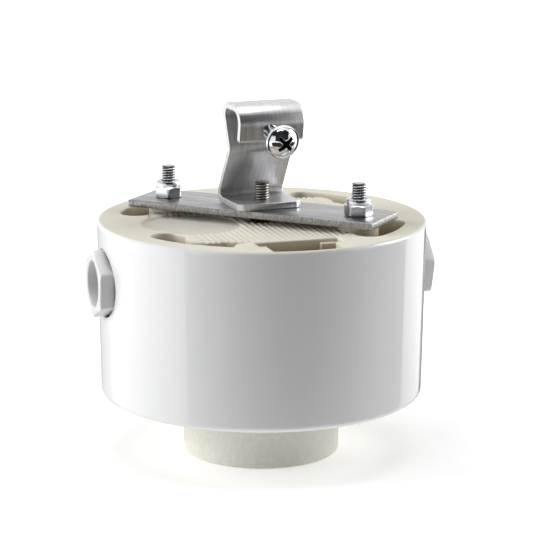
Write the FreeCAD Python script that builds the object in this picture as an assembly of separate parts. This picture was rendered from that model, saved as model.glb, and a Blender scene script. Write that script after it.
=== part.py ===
"""Hanging porcelain lamp holder for an E27 lamp, with two cable glands and a wire hook.

Millimetres. The origin is the centre of the lamp mouth, on the flat end of the socket
neck. +Z runs up to the hook, +X along the axis of the two cable glands.
"""

import FreeCAD, Part
import math
import os

from FreeCAD import Vector

UP = Vector(0, 0, 1)
ORIGIN = Vector(0, 0, 0)

# Porcelain body
BODY_BOTTOM = 16.6          # underside, above the lamp mouth
RIM = 65.2                  # flat back of the body
BODY_R_TOP = 45.0
BODY_R_BOTTOM = 44.2
CHAMBER_R = 34.0            # wiring chamber
CHAMBER_CEILING = 57.8
LEDGE = 27.4                # the gasket seats against this
RECESS_R = 36.6             # opening that takes the socket flange
POCKET_FLOOR = RIM - 4.6
POCKET_R_IN = 31.0
POCKET_R_OUT = 39.2
POCKET_ANGLE = 40.0         # middle of each pocket, from the gland axis
POCKET_HALF_SPAN = 19.5
POCKET_END_R = 3.9          # the ends are nearly half rounds
NOTCH_HALF = 11.7           # at the back; nearer the rim it is narrower
NOTCH_MOUTH_HALF = 9.5
NOTCH_BACK = -29.5          # y of the notch's inner wall
NOTCH_STEP = -34.3          # y where it narrows
NOTCH_R_OUT = 42.8
PAD_LEVEL = RIM - 0.3       # ribbed middle of the back
PAD_R = 31.0
RIB_PITCH = 1.64
RIB_DEPTH = 0.4
RIBS_TO = 24.0              # the ribs stop at this x
PLAIN_BOSS_R = 6.0          # the two bosses that no bolt uses, ribbed on top
DISH_LEVEL = RIM - 1.5      # smooth round recess beside the ribs
DISH_R = 13.4
DISH_CENTRE = Vector(-20.4, -1.4, DISH_LEVEL)

# Strap, its two long bolts and their lock nuts
STRAP_ANGLE = -43.3         # from the gland axis
STRAP_SIZE = (73.2, 18.6, 1.9)
STRAP_LIFT = 1.4            # bosses stand this far above the rim
STRAP_UNDER = RIM + STRAP_LIFT
STRAP_TOP = STRAP_UNDER + STRAP_SIZE[2]
BOLT_SPACING = 57.6
BOSS_R = 5.4
M4_R = 2.0
M4_CLEAR_R = 2.25
STUD_TOP = RIM + 12.1
NUT_FLATS = 7.0
NUT_HEX_HEIGHT = 3.0
NUT_HEIGHT = 4.7
THREAD_CHAMFER = 0.5

# Hook bracket: a bent strip, hinged to the strap by the centre screw
HOOK_YAW = 4.8
HOOK_WIDTH = 18.6
HOOK_THICK = 1.8
HOOK_GAP = 0.05             # running gap above the strap
FLANGE_TOP = STRAP_TOP + HOOK_GAP + HOOK_THICK
FLANGE_FRONT = -6.5
FLANGE_CHAMFER = 1.5
CENTRE_STUD_TOP = RIM + 10.0
LIP_TILT = 9.0              # the lip and its screw lean this much
CROWN_TOP = RIM + 31.95
LIP_END = RIM + 22.2
LIP_HOLE = Vector(-0.7, -6.18, RIM + 25.1)      # in the middle of the lip's thickness, before the yaw
CLAMP_REACH = 11.8          # from the lip's outer face to the face of the screw head
CLAMP_LENGTH = 12.0         # under the head
CLAMP_HEAD_R = 4.6
CLAMP_HEAD_HEIGHT = 3.1

# Socket insert and what it carries
NECK_R = 21.6
FLANGE_R = 36.2
FLANGE_UNDER = 17.6
GASKET_THICK = 1.5
FLANGE_BACK = LEDGE - GASKET_THICK
BARREL_R = 22.5
BARREL_TOP = 38.0
SOCKET_R = 14.3
SOCKET_FLOOR = 32.0
SHELL_R = 13.3              # root of the lamp thread, inside the shell
SHELL_WALL = 0.5
SHELL_MOUTH = 6.0
SHELL_THREAD_END = 26.4     # past this the shell is a little wider
SHELL_BASE_R = 13.7
SPRING_WELL_TOP = 36.0
PLUNGER_HEAD_R = 3.7
PLUNGER_STEM_R = 1.9
PLUNGER_NOSE = 26.8
PLUNGER_BACK = 30.0
STRIP_THICK = 1.2
SHELL_SCREW_AT = 11.0
LIVE_SCREW_AT = 6.35
TERMINAL_AT = 15.5
SCREW_HEAD_R = 2.2

# Cable glands
GLAND_Z = 49.7
GLAND_FACE = 47.7           # outer face, from the middle of the body
GLAND_THREAD_R = 7.9
GLAND_BORE_R = 6.2
GLAND_FLATS = 16.6
GLAND_TURN = {-1: 55.4, 1: 15.8}    # each stopped where it was tight
SEAT_X = 43.1               # spot face on the body
SEAT_R = 10.4
SEAL_R = 9.4
SEAL_THICK = 0.8


def direction(angle, radius=1.0):
    """A horizontal vector at an angle from the gland axis."""
    return Vector(radius * math.cos(math.radians(angle)), radius * math.sin(math.radians(angle)), 0)


def cylinder(radius, low, high, at=ORIGIN):
    return Part.makeCylinder(radius, high - low, Vector(at.x, at.y, low), UP)


def tube(outer, inner, low, high, at=ORIGIN):
    return cylinder(outer, low, high, at).cut(cylinder(inner, low - 1, high + 1, at))


def block(size_x, size_y, low, high, at=ORIGIN):
    """A box with its middle over a point."""
    corner = Vector(at.x - size_x / 2, at.y - size_y / 2, low)
    return Part.makeBox(size_x, size_y, high - low, corner)


def hexagon(flats, low, high, at=ORIGIN, turn=0.0):
    """A hexagonal prism, by its distance across flats."""
    radius = flats / math.sqrt(3)
    points = [at + direction(turn + 60 * k, radius) for k in range(7)]
    wire = Part.makePolygon([Vector(p.x, p.y, low) for p in points])
    return Part.Face(wire).extrude(UP * (high - low))


def revolved(points):
    """A solid of revolution about Z from an (r, z) outline."""
    wire = Part.makePolygon([Vector(r, 0, z) for r, z in points + points[:1]])
    return Part.Face(wire).revolve(ORIGIN, UP, 360)


def fused(shapes):
    return shapes[0].multiFuse(shapes[1:]).removeSplitter() if len(shapes) > 1 else shapes[0]


def stud(radius, low, high, at=ORIGIN):
    """A threaded shank, drawn plain, with a chamfered end."""
    c = THREAD_CHAMFER
    outline = [(0, low), (radius, low), (radius, high - c), (radius - c, high), (0, high)]
    shank = revolved(outline)
    shank.translate(Vector(at.x, at.y, 0))
    return shank


def rounded_edges(shape, radius, wanted):
    """Fillets the edges that a test picks."""
    return shape.makeFillet(radius, [edge for edge in shape.Edges if wanted(edge)])


def chamfered_nut(flats, low, high, at, turn):
    """A hexagon whose corners are turned away at its upper end."""
    radius = flats / math.sqrt(3)
    drop = 0.5
    cone = revolved([(0, low), (radius, low), (radius, high - drop), (radius - 0.9, high), (0, high)])
    cone.translate(Vector(at.x, at.y, 0))
    return hexagon(flats, low, high, at, turn).common(cone)


# ---- porcelain body ----

def bolt_point(side):
    return direction(STRAP_ANGLE, side * BOLT_SPACING / 2)


def body_shell():
    """The outer wall, the back and the chamber, turned about Z with rounded rims."""
    outline = [
        (0, CHAMBER_CEILING), (CHAMBER_R, CHAMBER_CEILING), (CHAMBER_R, LEDGE), (RECESS_R, LEDGE),
        (RECESS_R, BODY_BOTTOM), (BODY_R_BOTTOM, BODY_BOTTOM), (BODY_R_TOP, RIM), (0, RIM),
    ]
    shell = revolved(outline)

    def circle_at(z, radius):
        return lambda e: abs(e.BoundBox.ZMax - z) < 0.01 and abs(e.BoundBox.ZMin - z) < 0.01 \
            and abs(e.BoundBox.XMax - radius) < 0.01
    shell = rounded_edges(shell, 2.0, circle_at(BODY_BOTTOM, BODY_R_BOTTOM))
    shell = rounded_edges(shell, 0.8, circle_at(RIM, BODY_R_TOP))
    return shell


def is_plain(angle):
    """True for the two pockets that bend round a boss with no bolt."""
    return angle * STRAP_ANGLE < 0 if abs(angle) < 90 else angle * STRAP_ANGLE > 0


def plain_boss_point(side):
    """The mirror image of a bolt's place."""
    at = bolt_point(side)
    return Vector(at.x, -at.y, 0)


def pocket(angle):
    """A kidney-shaped pocket that bends round the boss inside it."""
    start = angle - POCKET_HALF_SPAN
    end = angle + POCKET_HALF_SPAN
    outer = Part.Arc(direction(start, POCKET_R_OUT), direction(angle, POCKET_R_OUT),
                     direction(end, POCKET_R_OUT)).toShape()
    inner = Part.Arc(direction(end, POCKET_R_IN), direction(angle, POCKET_R_IN),
                     direction(start, POCKET_R_IN)).toShape()
    sides = [Part.makeLine(direction(end, POCKET_R_OUT), direction(end, POCKET_R_IN)),
             Part.makeLine(direction(start, POCKET_R_IN), direction(start, POCKET_R_OUT))]
    face = Part.Face(Part.Wire([outer, sides[0], inner, sides[1]]))
    face.translate(UP * POCKET_FLOOR)
    kidney = face.extrude(UP * (RIM + 5 - POCKET_FLOOR))
    kidney = rounded_edges(kidney, POCKET_END_R, lambda e: e.BoundBox.ZLength > 3)
    side = 1 if abs(angle) < 90 else -1
    boss_at = plain_boss_point(side) if is_plain(angle) else bolt_point(side)
    radius = PLAIN_BOSS_R if is_plain(angle) else BOSS_R
    return kidney.cut(cylinder(radius, POCKET_FLOOR - 1, RIM + 6, boss_at))


def pocket_tail():
    """The square end of the pocket that faces (-x, -y); it runs out in a wedge beside the notch."""
    angle = POCKET_ANGLE - 180
    points = [direction(angle + 8, POCKET_R_IN), direction(angle + 27, POCKET_R_IN), Vector(-11.9, -29.3, 0),
              Vector(-17.0, -30.4, 0), direction(angle + 22, POCKET_R_OUT), direction(angle + 8, POCKET_R_OUT)]
    face = Part.Face(Part.makePolygon([p + UP * POCKET_FLOOR for p in points + points[:1]]))
    return face.extrude(UP * (RIM + 5 - POCKET_FLOOR)).cut(
        cylinder(PLAIN_BOSS_R, POCKET_FLOOR - 1, RIM + 6, plain_boss_point(-1)))


def pockets():
    angles = (POCKET_ANGLE, 180 - POCKET_ANGLE, POCKET_ANGLE - 180, -POCKET_ANGLE)
    return [pocket(a) for a in angles] + [pocket_tail()]


def notch():
    """The square-backed pocket at the rim: it narrows outwards, and a low post stands in one corner."""
    back = Part.makeBox(2 * NOTCH_HALF, NOTCH_BACK - NOTCH_STEP, 10,
                        Vector(-NOTCH_HALF, NOTCH_STEP, POCKET_FLOOR))
    mouth = Part.makeBox(2 * NOTCH_MOUTH_HALF, 12, 10, Vector(-NOTCH_MOUTH_HALF, NOTCH_STEP - 11, POCKET_FLOOR))
    opening = fused([back, mouth]).common(cylinder(NOTCH_R_OUT, POCKET_FLOOR, RIM + 5))
    relief = [cylinder(0.9, POCKET_FLOOR, RIM + 5, Vector(side * NOTCH_HALF, NOTCH_BACK - 0.4, 0))
              for side in (-1, 1)]
    post_width = 5.1
    post = Part.makeBox(post_width + 1, 1.6, RIM - 1.3 - POCKET_FLOOR + 1,
                        Vector(NOTCH_HALF - post_width, NOTCH_BACK - 1.6, POCKET_FLOOR - 1))
    return fused([opening] + relief).cut(post)


def ribbed_pad():
    """The middle of the back, a little sunk; it covers the plain bosses and runs up to the notch."""
    disc = cylinder(PAD_R, PAD_LEVEL, RIM + 1)
    bosses = [cylinder(PLAIN_BOSS_R, PAD_LEVEL, RIM + 1, plain_boss_point(side)) for side in (-1, 1)]
    front = Part.makeBox(2 * NOTCH_HALF, 3, 3, Vector(-NOTCH_HALF, NOTCH_BACK - 0.5, PAD_LEVEL))
    return fused([disc, front] + bosses)


def rib_span(x):
    """The lowest and highest y of the ribbed ground at an x."""
    half = math.sqrt(PAD_R ** 2 - x ** 2)
    low, high = -half, half
    for side in (-1, 1):
        at = plain_boss_point(side)
        if abs(x - at.x) < PLAIN_BOSS_R:
            reach = math.sqrt(PLAIN_BOSS_R ** 2 - (x - at.x) ** 2)
            low = min(low, at.y - reach)
            high = max(high, at.y + reach)
    if abs(x) < NOTCH_HALF:
        low = min(low, NOTCH_BACK - 0.5)
    return low, high


def rib_grooves():
    """V grooves along Y; what is left between them stands as ribs."""
    grooves = []
    half_width = 0.42 * RIB_PITCH
    top = PAD_LEVEL + 0.01
    count = int(RIBS_TO / RIB_PITCH)
    for k in range(-count, count + 1):
        x = k * RIB_PITCH
        low, high = rib_span(x)
        wire = Part.makePolygon([
            Vector(x - half_width, low, top), Vector(x, low, PAD_LEVEL - RIB_DEPTH),
            Vector(x + half_width, low, top), Vector(x - half_width, low, top)])
        grooves.append(Part.Face(wire).extrude(Vector(0, high - low, 0)))
    return grooves


def gland_cuts(side):
    """The round hole for a gland and the spot face its seal sits on."""
    hole = Part.makeCylinder(GLAND_THREAD_R + 0.3, 20, Vector(side * 30, 0, GLAND_Z), Vector(side, 0, 0))
    seat = Part.makeCylinder(SEAT_R, 6, Vector(side * SEAT_X, 0, GLAND_Z), Vector(side, 0, 0))
    return [hole, seat]


def inner_boss(side):
    """A boss under the back round each long bolt, tied to the wall by a web."""
    at = bolt_point(side)
    boss = cylinder(BOSS_R, 44, CHAMBER_CEILING + 1, at)
    web = block(10, 4, 47, CHAMBER_CEILING + 1)
    web.rotate(ORIGIN, UP, STRAP_ANGLE)
    web.translate(direction(STRAP_ANGLE, side * (CHAMBER_R - 2.5)))
    return [boss, web]


def base_body():
    shell = fused([body_shell()] + inner_boss(1) + inner_boss(-1))
    cuts = pockets() + [notch(), ribbed_pad(), cylinder(DISH_R, DISH_LEVEL, RIM + 1, DISH_CENTRE),
                        cylinder(5.4, RIM - 3.0, RIM + 1)]
    cuts += gland_cuts(1) + gland_cuts(-1)
    shell = shell.cut(cuts)
    shell = shell.cut(rib_grooves())
    raised = [cylinder(BOSS_R, RIM - 3, STRAP_UNDER, bolt_point(s)) for s in (-1, 1)]
    shell = fused([shell] + raised)
    return shell.cut([cylinder(M4_CLEAR_R, 40, RIM + 5, bolt_point(s)) for s in (-1, 1)])


# ---- socket insert ----

def socket_insert():
    """The unglazed carrier: neck, flange and barrel in one, with the socket well in it."""
    outline = [
        (15.2, 0), (NECK_R, 0), (NECK_R, FLANGE_UNDER), (FLANGE_R, FLANGE_UNDER),
        (FLANGE_R, FLANGE_BACK), (BARREL_R, FLANGE_BACK), (BARREL_R, BARREL_TOP),
        (0, BARREL_TOP), (0, SOCKET_FLOOR), (SOCKET_R, SOCKET_FLOOR), (SOCKET_R, 4.4), (15.2, 3.4),
    ]
    insert = revolved(outline)

    def mouth_edge(e):
        return e.BoundBox.ZMax < 0.01 and e.BoundBox.XMax > 15
    insert = rounded_edges(insert, 0.9, mouth_edge)
    cuts = [cylinder(3.3, SOCKET_FLOOR - 1, SPRING_WELL_TOP), cylinder(2.2, 30, 40)]
    for side in (-1, 1):
        at = bolt_point(side)
        cuts += [cylinder(M4_CLEAR_R, 10, 30, at), cylinder(5.2, 10, FLANGE_UNDER + 3.8, at)]
    for at in shell_screw_points():
        cuts.append(cylinder(1.45, 30, 40, at))
    cuts += [cylinder(1.45, 30, 40, live_screw_point()),
             cylinder(SCREW_HEAD_R + 0.3, 30, SOCKET_FLOOR + 1.9, live_screw_point())]
    return insert.cut(cuts)


def flange_gasket():
    return tube(FLANGE_R - 0.2, CHAMBER_R + 0.2, FLANGE_BACK, LEDGE)


def shell_screw_points():
    return [Vector(-SHELL_SCREW_AT, 0, 0), Vector(0, SHELL_SCREW_AT, 0)]


def live_screw_point():
    return Vector(LIVE_SCREW_AT, 0, 0)


def threaded_shell():
    """The brass shell that takes the lamp cap: a spun cup with a turned-in floor."""
    outer = SHELL_R + SHELL_WALL
    floor = SOCKET_FLOOR - SHELL_WALL
    base = SHELL_BASE_R + SHELL_WALL
    outline = [
        (SHELL_R, SHELL_MOUTH), (outer, SHELL_MOUTH), (outer, SHELL_THREAD_END), (base, SHELL_THREAD_END + 0.9),
        (base, SOCKET_FLOOR), (9.0, SOCKET_FLOOR), (9.0, floor), (SHELL_BASE_R, floor),
        (SHELL_BASE_R, SHELL_THREAD_END + 0.9), (SHELL_R, SHELL_THREAD_END),
    ]
    return revolved(outline).cut([cylinder(1.4, 30, 40, at) for at in shell_screw_points()])


def small_screw(at, head_low, head_high, tip):
    """A slotted cheese-head screw that points up."""
    head = cylinder(SCREW_HEAD_R, head_low, head_high, at)
    slot = block(6, 0.7, head_low - 1, head_low + 0.7, at)
    return fused([head, stud(1.25, head_low + 0.5, tip, at)]).cut(slot)


def shell_screws():
    head_high = SOCKET_FLOOR - SHELL_WALL
    return Part.makeCompound([small_screw(at, head_high - 1.6, head_high, BARREL_TOP + 3.2)
                              for at in shell_screw_points()])


def live_screw():
    high = SOCKET_FLOOR + 1.9
    return small_screw(live_screw_point(), high - 1.6, high, BARREL_TOP + 3.2)


def centre_contact():
    """The spring-loaded plunger that meets the lamp's end contact."""
    nose = 1.0
    outline = [
        (0, PLUNGER_NOSE), (PLUNGER_HEAD_R - nose - 0.6, PLUNGER_NOSE),
        (PLUNGER_HEAD_R - 0.3, PLUNGER_NOSE + 0.8), (PLUNGER_HEAD_R, PLUNGER_NOSE + 1.8),
        (PLUNGER_HEAD_R, PLUNGER_BACK), (PLUNGER_STEM_R, PLUNGER_BACK),
        (PLUNGER_STEM_R, BARREL_TOP + STRIP_THICK + 3.0), (0, BARREL_TOP + STRIP_THICK + 3.0),
    ]
    groove = tube(PLUNGER_STEM_R + 1, 1.45, BARREL_TOP + STRIP_THICK + 0.05, BARREL_TOP + STRIP_THICK + 0.85)
    return revolved(outline).cut(groove)


def contact_clip():
    """The retaining ring in the plunger's groove, open on one side."""
    low = BARREL_TOP + STRIP_THICK + 0.1
    ring = tube(3.4, 1.5, low, low + 0.7)
    return ring.cut(block(4, 1.8, low - 1, low + 2, Vector(0, -3, 0)))


def contact_spring():
    """A coil between the plunger's head and the roof of its well."""
    wire_r = 0.3
    low = PLUNGER_BACK + wire_r + 0.02
    height = SPRING_WELL_TOP - wire_r - 0.02 - low
    coil_r = 2.75
    helix = Part.makeHelix(height / 4, height, coil_r)
    ring = Part.Wire([Part.makeCircle(wire_r, Vector(coil_r, 0, 0), Vector(0, 1, 0.07))])
    coil = Part.Wire(helix.Edges).makePipeShell([ring], True, True)
    coil.translate(UP * low)
    return coil


# ---- terminals on top of the barrel ----

def terminal_block(at, low):
    """A brass saddle with a cross hole for each conductor."""
    body = block(8, 15, low, low + 7, at)
    body = rounded_edges(body, 0.6, lambda e: e.BoundBox.ZLength > 3)
    holes = [Part.makeCylinder(1.7, 10, Vector(at.x - 5, at.y + dy, low + 3.0), Vector(1, 0, 0))
             for dy in (-4, 4)]
    taps = [cylinder(1.5, low + 3, low + 8, at + Vector(0, dy, 0)) for dy in (-4, 4)]
    return body.cut(holes + taps)


def terminal_screws(at, low):
    """The two clamp screws of a terminal, in one group."""
    screws = []
    for dy in (-4, 4):
        point = at + Vector(0, dy, 0)
        head = cylinder(2.6, low + 7.4, low + 9.4, point).cut(block(6, 0.8, low + 8.5, low + 10, point))
        screws.append(fused([head, cylinder(1.45, low + 4.2, low + 7.6, point)]))
    return Part.makeCompound(screws)


def live_terminal():
    """Strip and saddle in one: the plunger slides in the strip's hole."""
    at = Vector(TERMINAL_AT, 0, 0)
    strip = block(TERMINAL_AT + 4.5, 8, BARREL_TOP, BARREL_TOP + STRIP_THICK, Vector(TERMINAL_AT / 2 - 1.5, 0, 0))
    piece = fused([strip, terminal_block(at, BARREL_TOP)])
    return piece.cut([cylinder(PLUNGER_STEM_R + 0.05, 30, 45), cylinder(1.25, 30, 45, live_screw_point())])


def neutral_terminal():
    at = Vector(-TERMINAL_AT, 0, 0)
    strip = block(8, 8, BARREL_TOP, BARREL_TOP + STRIP_THICK, Vector(-SHELL_SCREW_AT + 0.5, 0, 0))
    piece = fused([strip, terminal_block(at, BARREL_TOP)])
    return piece.cut([cylinder(1.25, 30, 41.5, shell_screw_points()[0])])


def shell_nut():
    """The nut of the shell's second screw."""
    at = shell_screw_points()[1]
    return hexagon(5.0, BARREL_TOP, BARREL_TOP + 2.0, at).cut(cylinder(1.25, 30, 45, at))


# ---- strap, bolts and nuts ----

def strap_bar():
    """A flat bar with three holes, carried by the two raised bosses."""
    length, width, thick = STRAP_SIZE
    bar = block(length, width, STRAP_UNDER, STRAP_TOP)
    bar = rounded_edges(bar, 0.5, lambda e: e.BoundBox.ZLength > 1)
    bar.rotate(ORIGIN, UP, STRAP_ANGLE)
    holes = [cylinder(M4_CLEAR_R, STRAP_UNDER - 1, STRAP_TOP + 1, at)
             for at in (bolt_point(-1), bolt_point(1))]
    return bar.cut(holes + [cylinder(M4_R + 0.05, STRAP_UNDER - 1, STRAP_TOP + 1)])


def long_bolt(side):
    """A hexagon bolt from the socket flange right through the body."""
    at = bolt_point(side)
    seat = FLANGE_UNDER + 3.8 - 0.8
    head = chamfered_nut(NUT_FLATS, -seat, -seat + 2.8, Vector(at.x, -at.y, 0), 0)
    head.rotate(ORIGIN, Vector(1, 0, 0), 180)
    return fused([head, stud(M4_R, seat - 0.5, STUD_TOP, at)])


def bolt_washers():
    high = FLANGE_UNDER + 3.8
    return Part.makeCompound([tube(4.5, M4_R + 0.15, high - 0.8, high, bolt_point(s)) for s in (-1, 1)])


def lock_nut(side, turn):
    """A hexagon nut with the round collar that holds its locking ring."""
    at = bolt_point(side)
    low = STRAP_TOP
    hexed = chamfered_nut(NUT_FLATS, low, low + NUT_HEX_HEIGHT, at, turn)
    top = low + NUT_HEIGHT
    base = low + NUT_HEX_HEIGHT - 0.6
    collar = revolved([(0, base), (3.35, base), (3.35, top - 0.9), (3.0, top - 0.25), (2.75, top), (0, top)])
    collar.translate(Vector(at.x, at.y, 0))
    nut = fused([hexed, collar])
    ring_low = top - 1.35
    return nut.cut([cylinder(M4_R, low - 1, top + 1, at), cylinder(2.6, ring_low, top - 0.2, at)])


def nut_ring(side):
    """The plastic ring shut inside the nut's collar."""
    top = STRAP_TOP + NUT_HEIGHT
    return tube(2.6, M4_R, top - 1.35, top - 0.2, bolt_point(side))


# ---- hook bracket ----

def bent_strip(points, radii, half):
    """A closed outline round a bent line in the YZ plane, half a thickness to each side."""
    path = [Vector(0, y, z) for y, z in points]
    runs = [(b - a).normalize() for a, b in zip(path, path[1:])]

    def left(run):
        return Vector(0, -run.z, run.y)

    def side(sign):
        edges = []
        start = path[0] + left(runs[0]) * (sign * half)
        for corner, before, after, radius in zip(path[1:-1], runs, runs[1:], radii):
            turn = before.y * after.z - before.z * after.y
            inward = math.copysign(1, turn)
            reach = radius * math.tan(before.getAngle(after) / 2)
            centre = corner - before * reach + left(before) * (inward * radius)
            bend = radius - sign * inward * half
            first = centre - left(before) * (inward * bend)
            last = centre - left(after) * (inward * bend)
            middle = centre + (corner - centre).normalize() * bend
            edges += [Part.makeLine(start, first), Part.Arc(first, middle, last).toShape()]
            start = last
        end = path[-1] + left(runs[-1]) * (sign * half)
        edges.append(Part.makeLine(start, end))
        return edges, end

    one, one_end = side(1)
    other, other_end = side(-1)
    caps = [Part.makeLine(one_end, other_end),
            Part.makeLine(path[0] + left(runs[0]) * half, path[0] - left(runs[0]) * half)]
    return Part.Wire(Part.__sortEdges__(one + other + caps))


def clamp_frame(shape):
    """Turns a shape made along +Z, tip up, into the line of the clamp screw."""
    shape.rotate(ORIGIN, Vector(1, 0, 0), -90 + LIP_TILT)
    shape.translate(LIP_HOLE)
    shape.rotate(ORIGIN, UP, HOOK_YAW)
    return shape


def flange_corner(side):
    """What is cut off a front corner of the hook's flange."""
    x, y, c = side * HOOK_WIDTH / 2, FLANGE_FRONT, FLANGE_CHAMFER
    low = STRAP_TOP - 1
    points = [Vector(x - side * c, y, low), Vector(x, y, low), Vector(x, y + c, low)]
    return Part.Face(Part.makePolygon(points + points[:1])).extrude(UP * 5)


def hook_bracket():
    """Flange, back that kinks forward and back again, rounded top and front lip."""
    half = HOOK_THICK / 2
    lean = math.tan(math.radians(LIP_TILT))
    crown = CROWN_TOP - half
    line = [
        (FLANGE_FRONT, FLANGE_TOP - half),
        (9.95, FLANGE_TOP - half),
        (1.12, RIM + 19.4),
        (5.85, crown),
        (LIP_HOLE.y - lean * (crown - LIP_HOLE.z), crown),
        (LIP_HOLE.y + lean * (LIP_HOLE.z - LIP_END), LIP_END),
    ]
    face = Part.Face(bent_strip(line, (2.0, 2.6, 2.4, 4.0), half))
    face.translate(Vector(-HOOK_WIDTH / 2, 0, 0))
    strip = face.extrude(Vector(HOOK_WIDTH, 0, 0)).cut([flange_corner(-1), flange_corner(1)])
    strip.rotate(ORIGIN, UP, HOOK_YAW)
    hole = clamp_frame(Part.makeCylinder(M4_R + 0.05, 12, Vector(0, 0, -6), UP))
    return strip.cut([hole, cylinder(M4_R, FLANGE_TOP - 3, FLANGE_TOP + 1)])


def centre_screw():
    """The pan-head screw that comes up through the strap into the hook's flange."""
    head = revolved([(0, STRAP_UNDER - 2.2), (2.6, STRAP_UNDER - 2.2), (3.7, STRAP_UNDER - 1.4),
                     (3.9, STRAP_UNDER - 0.02), (0, STRAP_UNDER - 0.02)])
    return fused([head, stud(M4_R, STRAP_UNDER - 0.5, CENTRE_STUD_TOP)])


def cross_recess(face_z, depth):
    """A tapered cross-shaped driver recess, open towards -Z."""
    arms = []
    for angle in (45, 135):
        low = [Vector(-2.3, -0.5, face_z), Vector(2.3, -0.5, face_z), Vector(2.3, 0.5, face_z),
               Vector(-2.3, 0.5, face_z)]
        high = [Vector(p.x * 0.45, p.y * 0.6, face_z + depth) for p in low]
        arm = Part.makeLoft([Part.makePolygon(low + low[:1]), Part.makePolygon(high + high[:1])], True)
        arm.rotate(ORIGIN, UP, angle)
        arms.append(arm)
    return fused(arms)


def clamp_screw():
    """The wire clamp's screw: collared pan head with a cross recess, shank through the lip."""
    face = -(CLAMP_REACH + HOOK_THICK / 2)
    back = face + CLAMP_HEAD_HEIGHT
    crown = Part.Arc(Vector(0, 0, face), Vector(2.3, 0, face + 0.35), Vector(3.9, 0, face + 1.9)).toShape()
    rest = Part.makePolygon([Vector(3.9, 0, face + 1.9), Vector(CLAMP_HEAD_R, 0, back - 0.9),
                             Vector(CLAMP_HEAD_R, 0, back), Vector(0, 0, back), Vector(0, 0, face)])
    head = Part.Face(Part.Wire([crown] + rest.Edges)).revolve(ORIGIN, UP, 360)
    head = head.cut(cross_recess(face - 0.01, 1.9))
    return clamp_frame(fused([head, stud(M4_R, back - 0.5, back + CLAMP_LENGTH)]))


# ---- cable glands ----

def along_x(shape, side):
    """Lays a shape made along +Z, outer end up, on a gland's axis."""
    shape.rotate(ORIGIN, Vector(0, 1, 0), 90 * side)
    shape.translate(Vector(0, 0, GLAND_Z))
    return shape


def gland(side):
    """Hexagon head, threaded shank drawn plain, and a bore for the cable."""
    seat = SEAT_X + SEAL_THICK
    head = hexagon(GLAND_FLATS, seat, GLAND_FACE, turn=GLAND_TURN[side])
    radius = GLAND_FLATS / math.sqrt(3)
    head = head.common(revolved([(0, seat), (radius, seat), (radius, GLAND_FACE - 0.35),
                                 (radius - 0.7, GLAND_FACE), (0, GLAND_FACE)]))
    shank = cylinder(GLAND_THREAD_R, 31.5, seat + 0.5)
    nipple = fused([head, shank])
    bore = cylinder(GLAND_BORE_R, 30, 50)
    mouth = revolved([(0, GLAND_FACE - 0.4), (GLAND_BORE_R, GLAND_FACE - 0.4),
                      (GLAND_BORE_R + 0.41, GLAND_FACE + 0.01), (0, GLAND_FACE + 0.01)])
    seal_room = cylinder(GLAND_THREAD_R - 0.9, 30, 37.5)
    return along_x(nipple.cut([bore, mouth, seal_room]), side)


def gland_seal(side):
    """The flat ring between hexagon and body."""
    return along_x(tube(SEAL_R, GLAND_THREAD_R + 0.05, SEAT_X, SEAT_X + SEAL_THICK), side)


def cable_seal(side):
    """The rubber bush that closes on the cable, inside the shank."""
    bush = revolved([(4.4, 32), (GLAND_THREAD_R - 1.0, 32), (GLAND_THREAD_R - 1.0, 37.4), (5.0, 37.4),
                     (4.2, 36.0)])
    return along_x(bush, side)


def pieces():
    left_at = Vector(-TERMINAL_AT, 0, 0)
    right_at = Vector(TERMINAL_AT, 0, 0)
    return {
        "base_body": base_body(),
        "socket_insert": socket_insert(),
        "flange_gasket": flange_gasket(),
        "threaded_shell": threaded_shell(),
        "shell_screws": shell_screws(),
        "shell_nut": shell_nut(),
        "centre_contact": centre_contact(),
        "contact_spring": contact_spring(),
        "contact_clip": contact_clip(),
        "live_terminal": live_terminal(),
        "live_screw": live_screw(),
        "live_clamp_screws": terminal_screws(right_at, BARREL_TOP),
        "neutral_terminal": neutral_terminal(),
        "neutral_clamp_screws": terminal_screws(left_at, BARREL_TOP),
        "strap_bar": strap_bar(),
        "left_long_bolt": long_bolt(-1),
        "right_long_bolt": long_bolt(1),
        "bolt_washers": bolt_washers(),
        "left_lock_nut": lock_nut(-1, -46),
        "right_lock_nut": lock_nut(1, -25),
        "left_nut_ring": nut_ring(-1),
        "right_nut_ring": nut_ring(1),
        "hook_bracket": hook_bracket(),
        "centre_screw": centre_screw(),
        "clamp_screw": clamp_screw(),
        "left_gland": gland(-1),
        "right_gland": gland(1),
        "left_gland_seal": gland_seal(-1),
        "right_gland_seal": gland_seal(1),
        "left_cable_seal": cable_seal(-1),
        "right_cable_seal": cable_seal(1),
    }


def main():
    os.makedirs("parts", exist_ok=True)
    for node, shape in pieces().items():
        shape.exportStep(f"parts/{node}.step")
        print(node, "valid" if shape.isValid() else "NOT VALID", round(shape.Volume), "mm3")


main()
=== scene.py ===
"""Looks of the hanging porcelain lamp holder, laid out as an add-on and run as a script."""

import math

import bmesh
import bpy
import numpy as np
from bpy.props import FloatProperty, FloatVectorProperty, PointerProperty
from mathutils import Matrix, Vector
from mathutils.geometry import delaunay_2d_cdt


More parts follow.
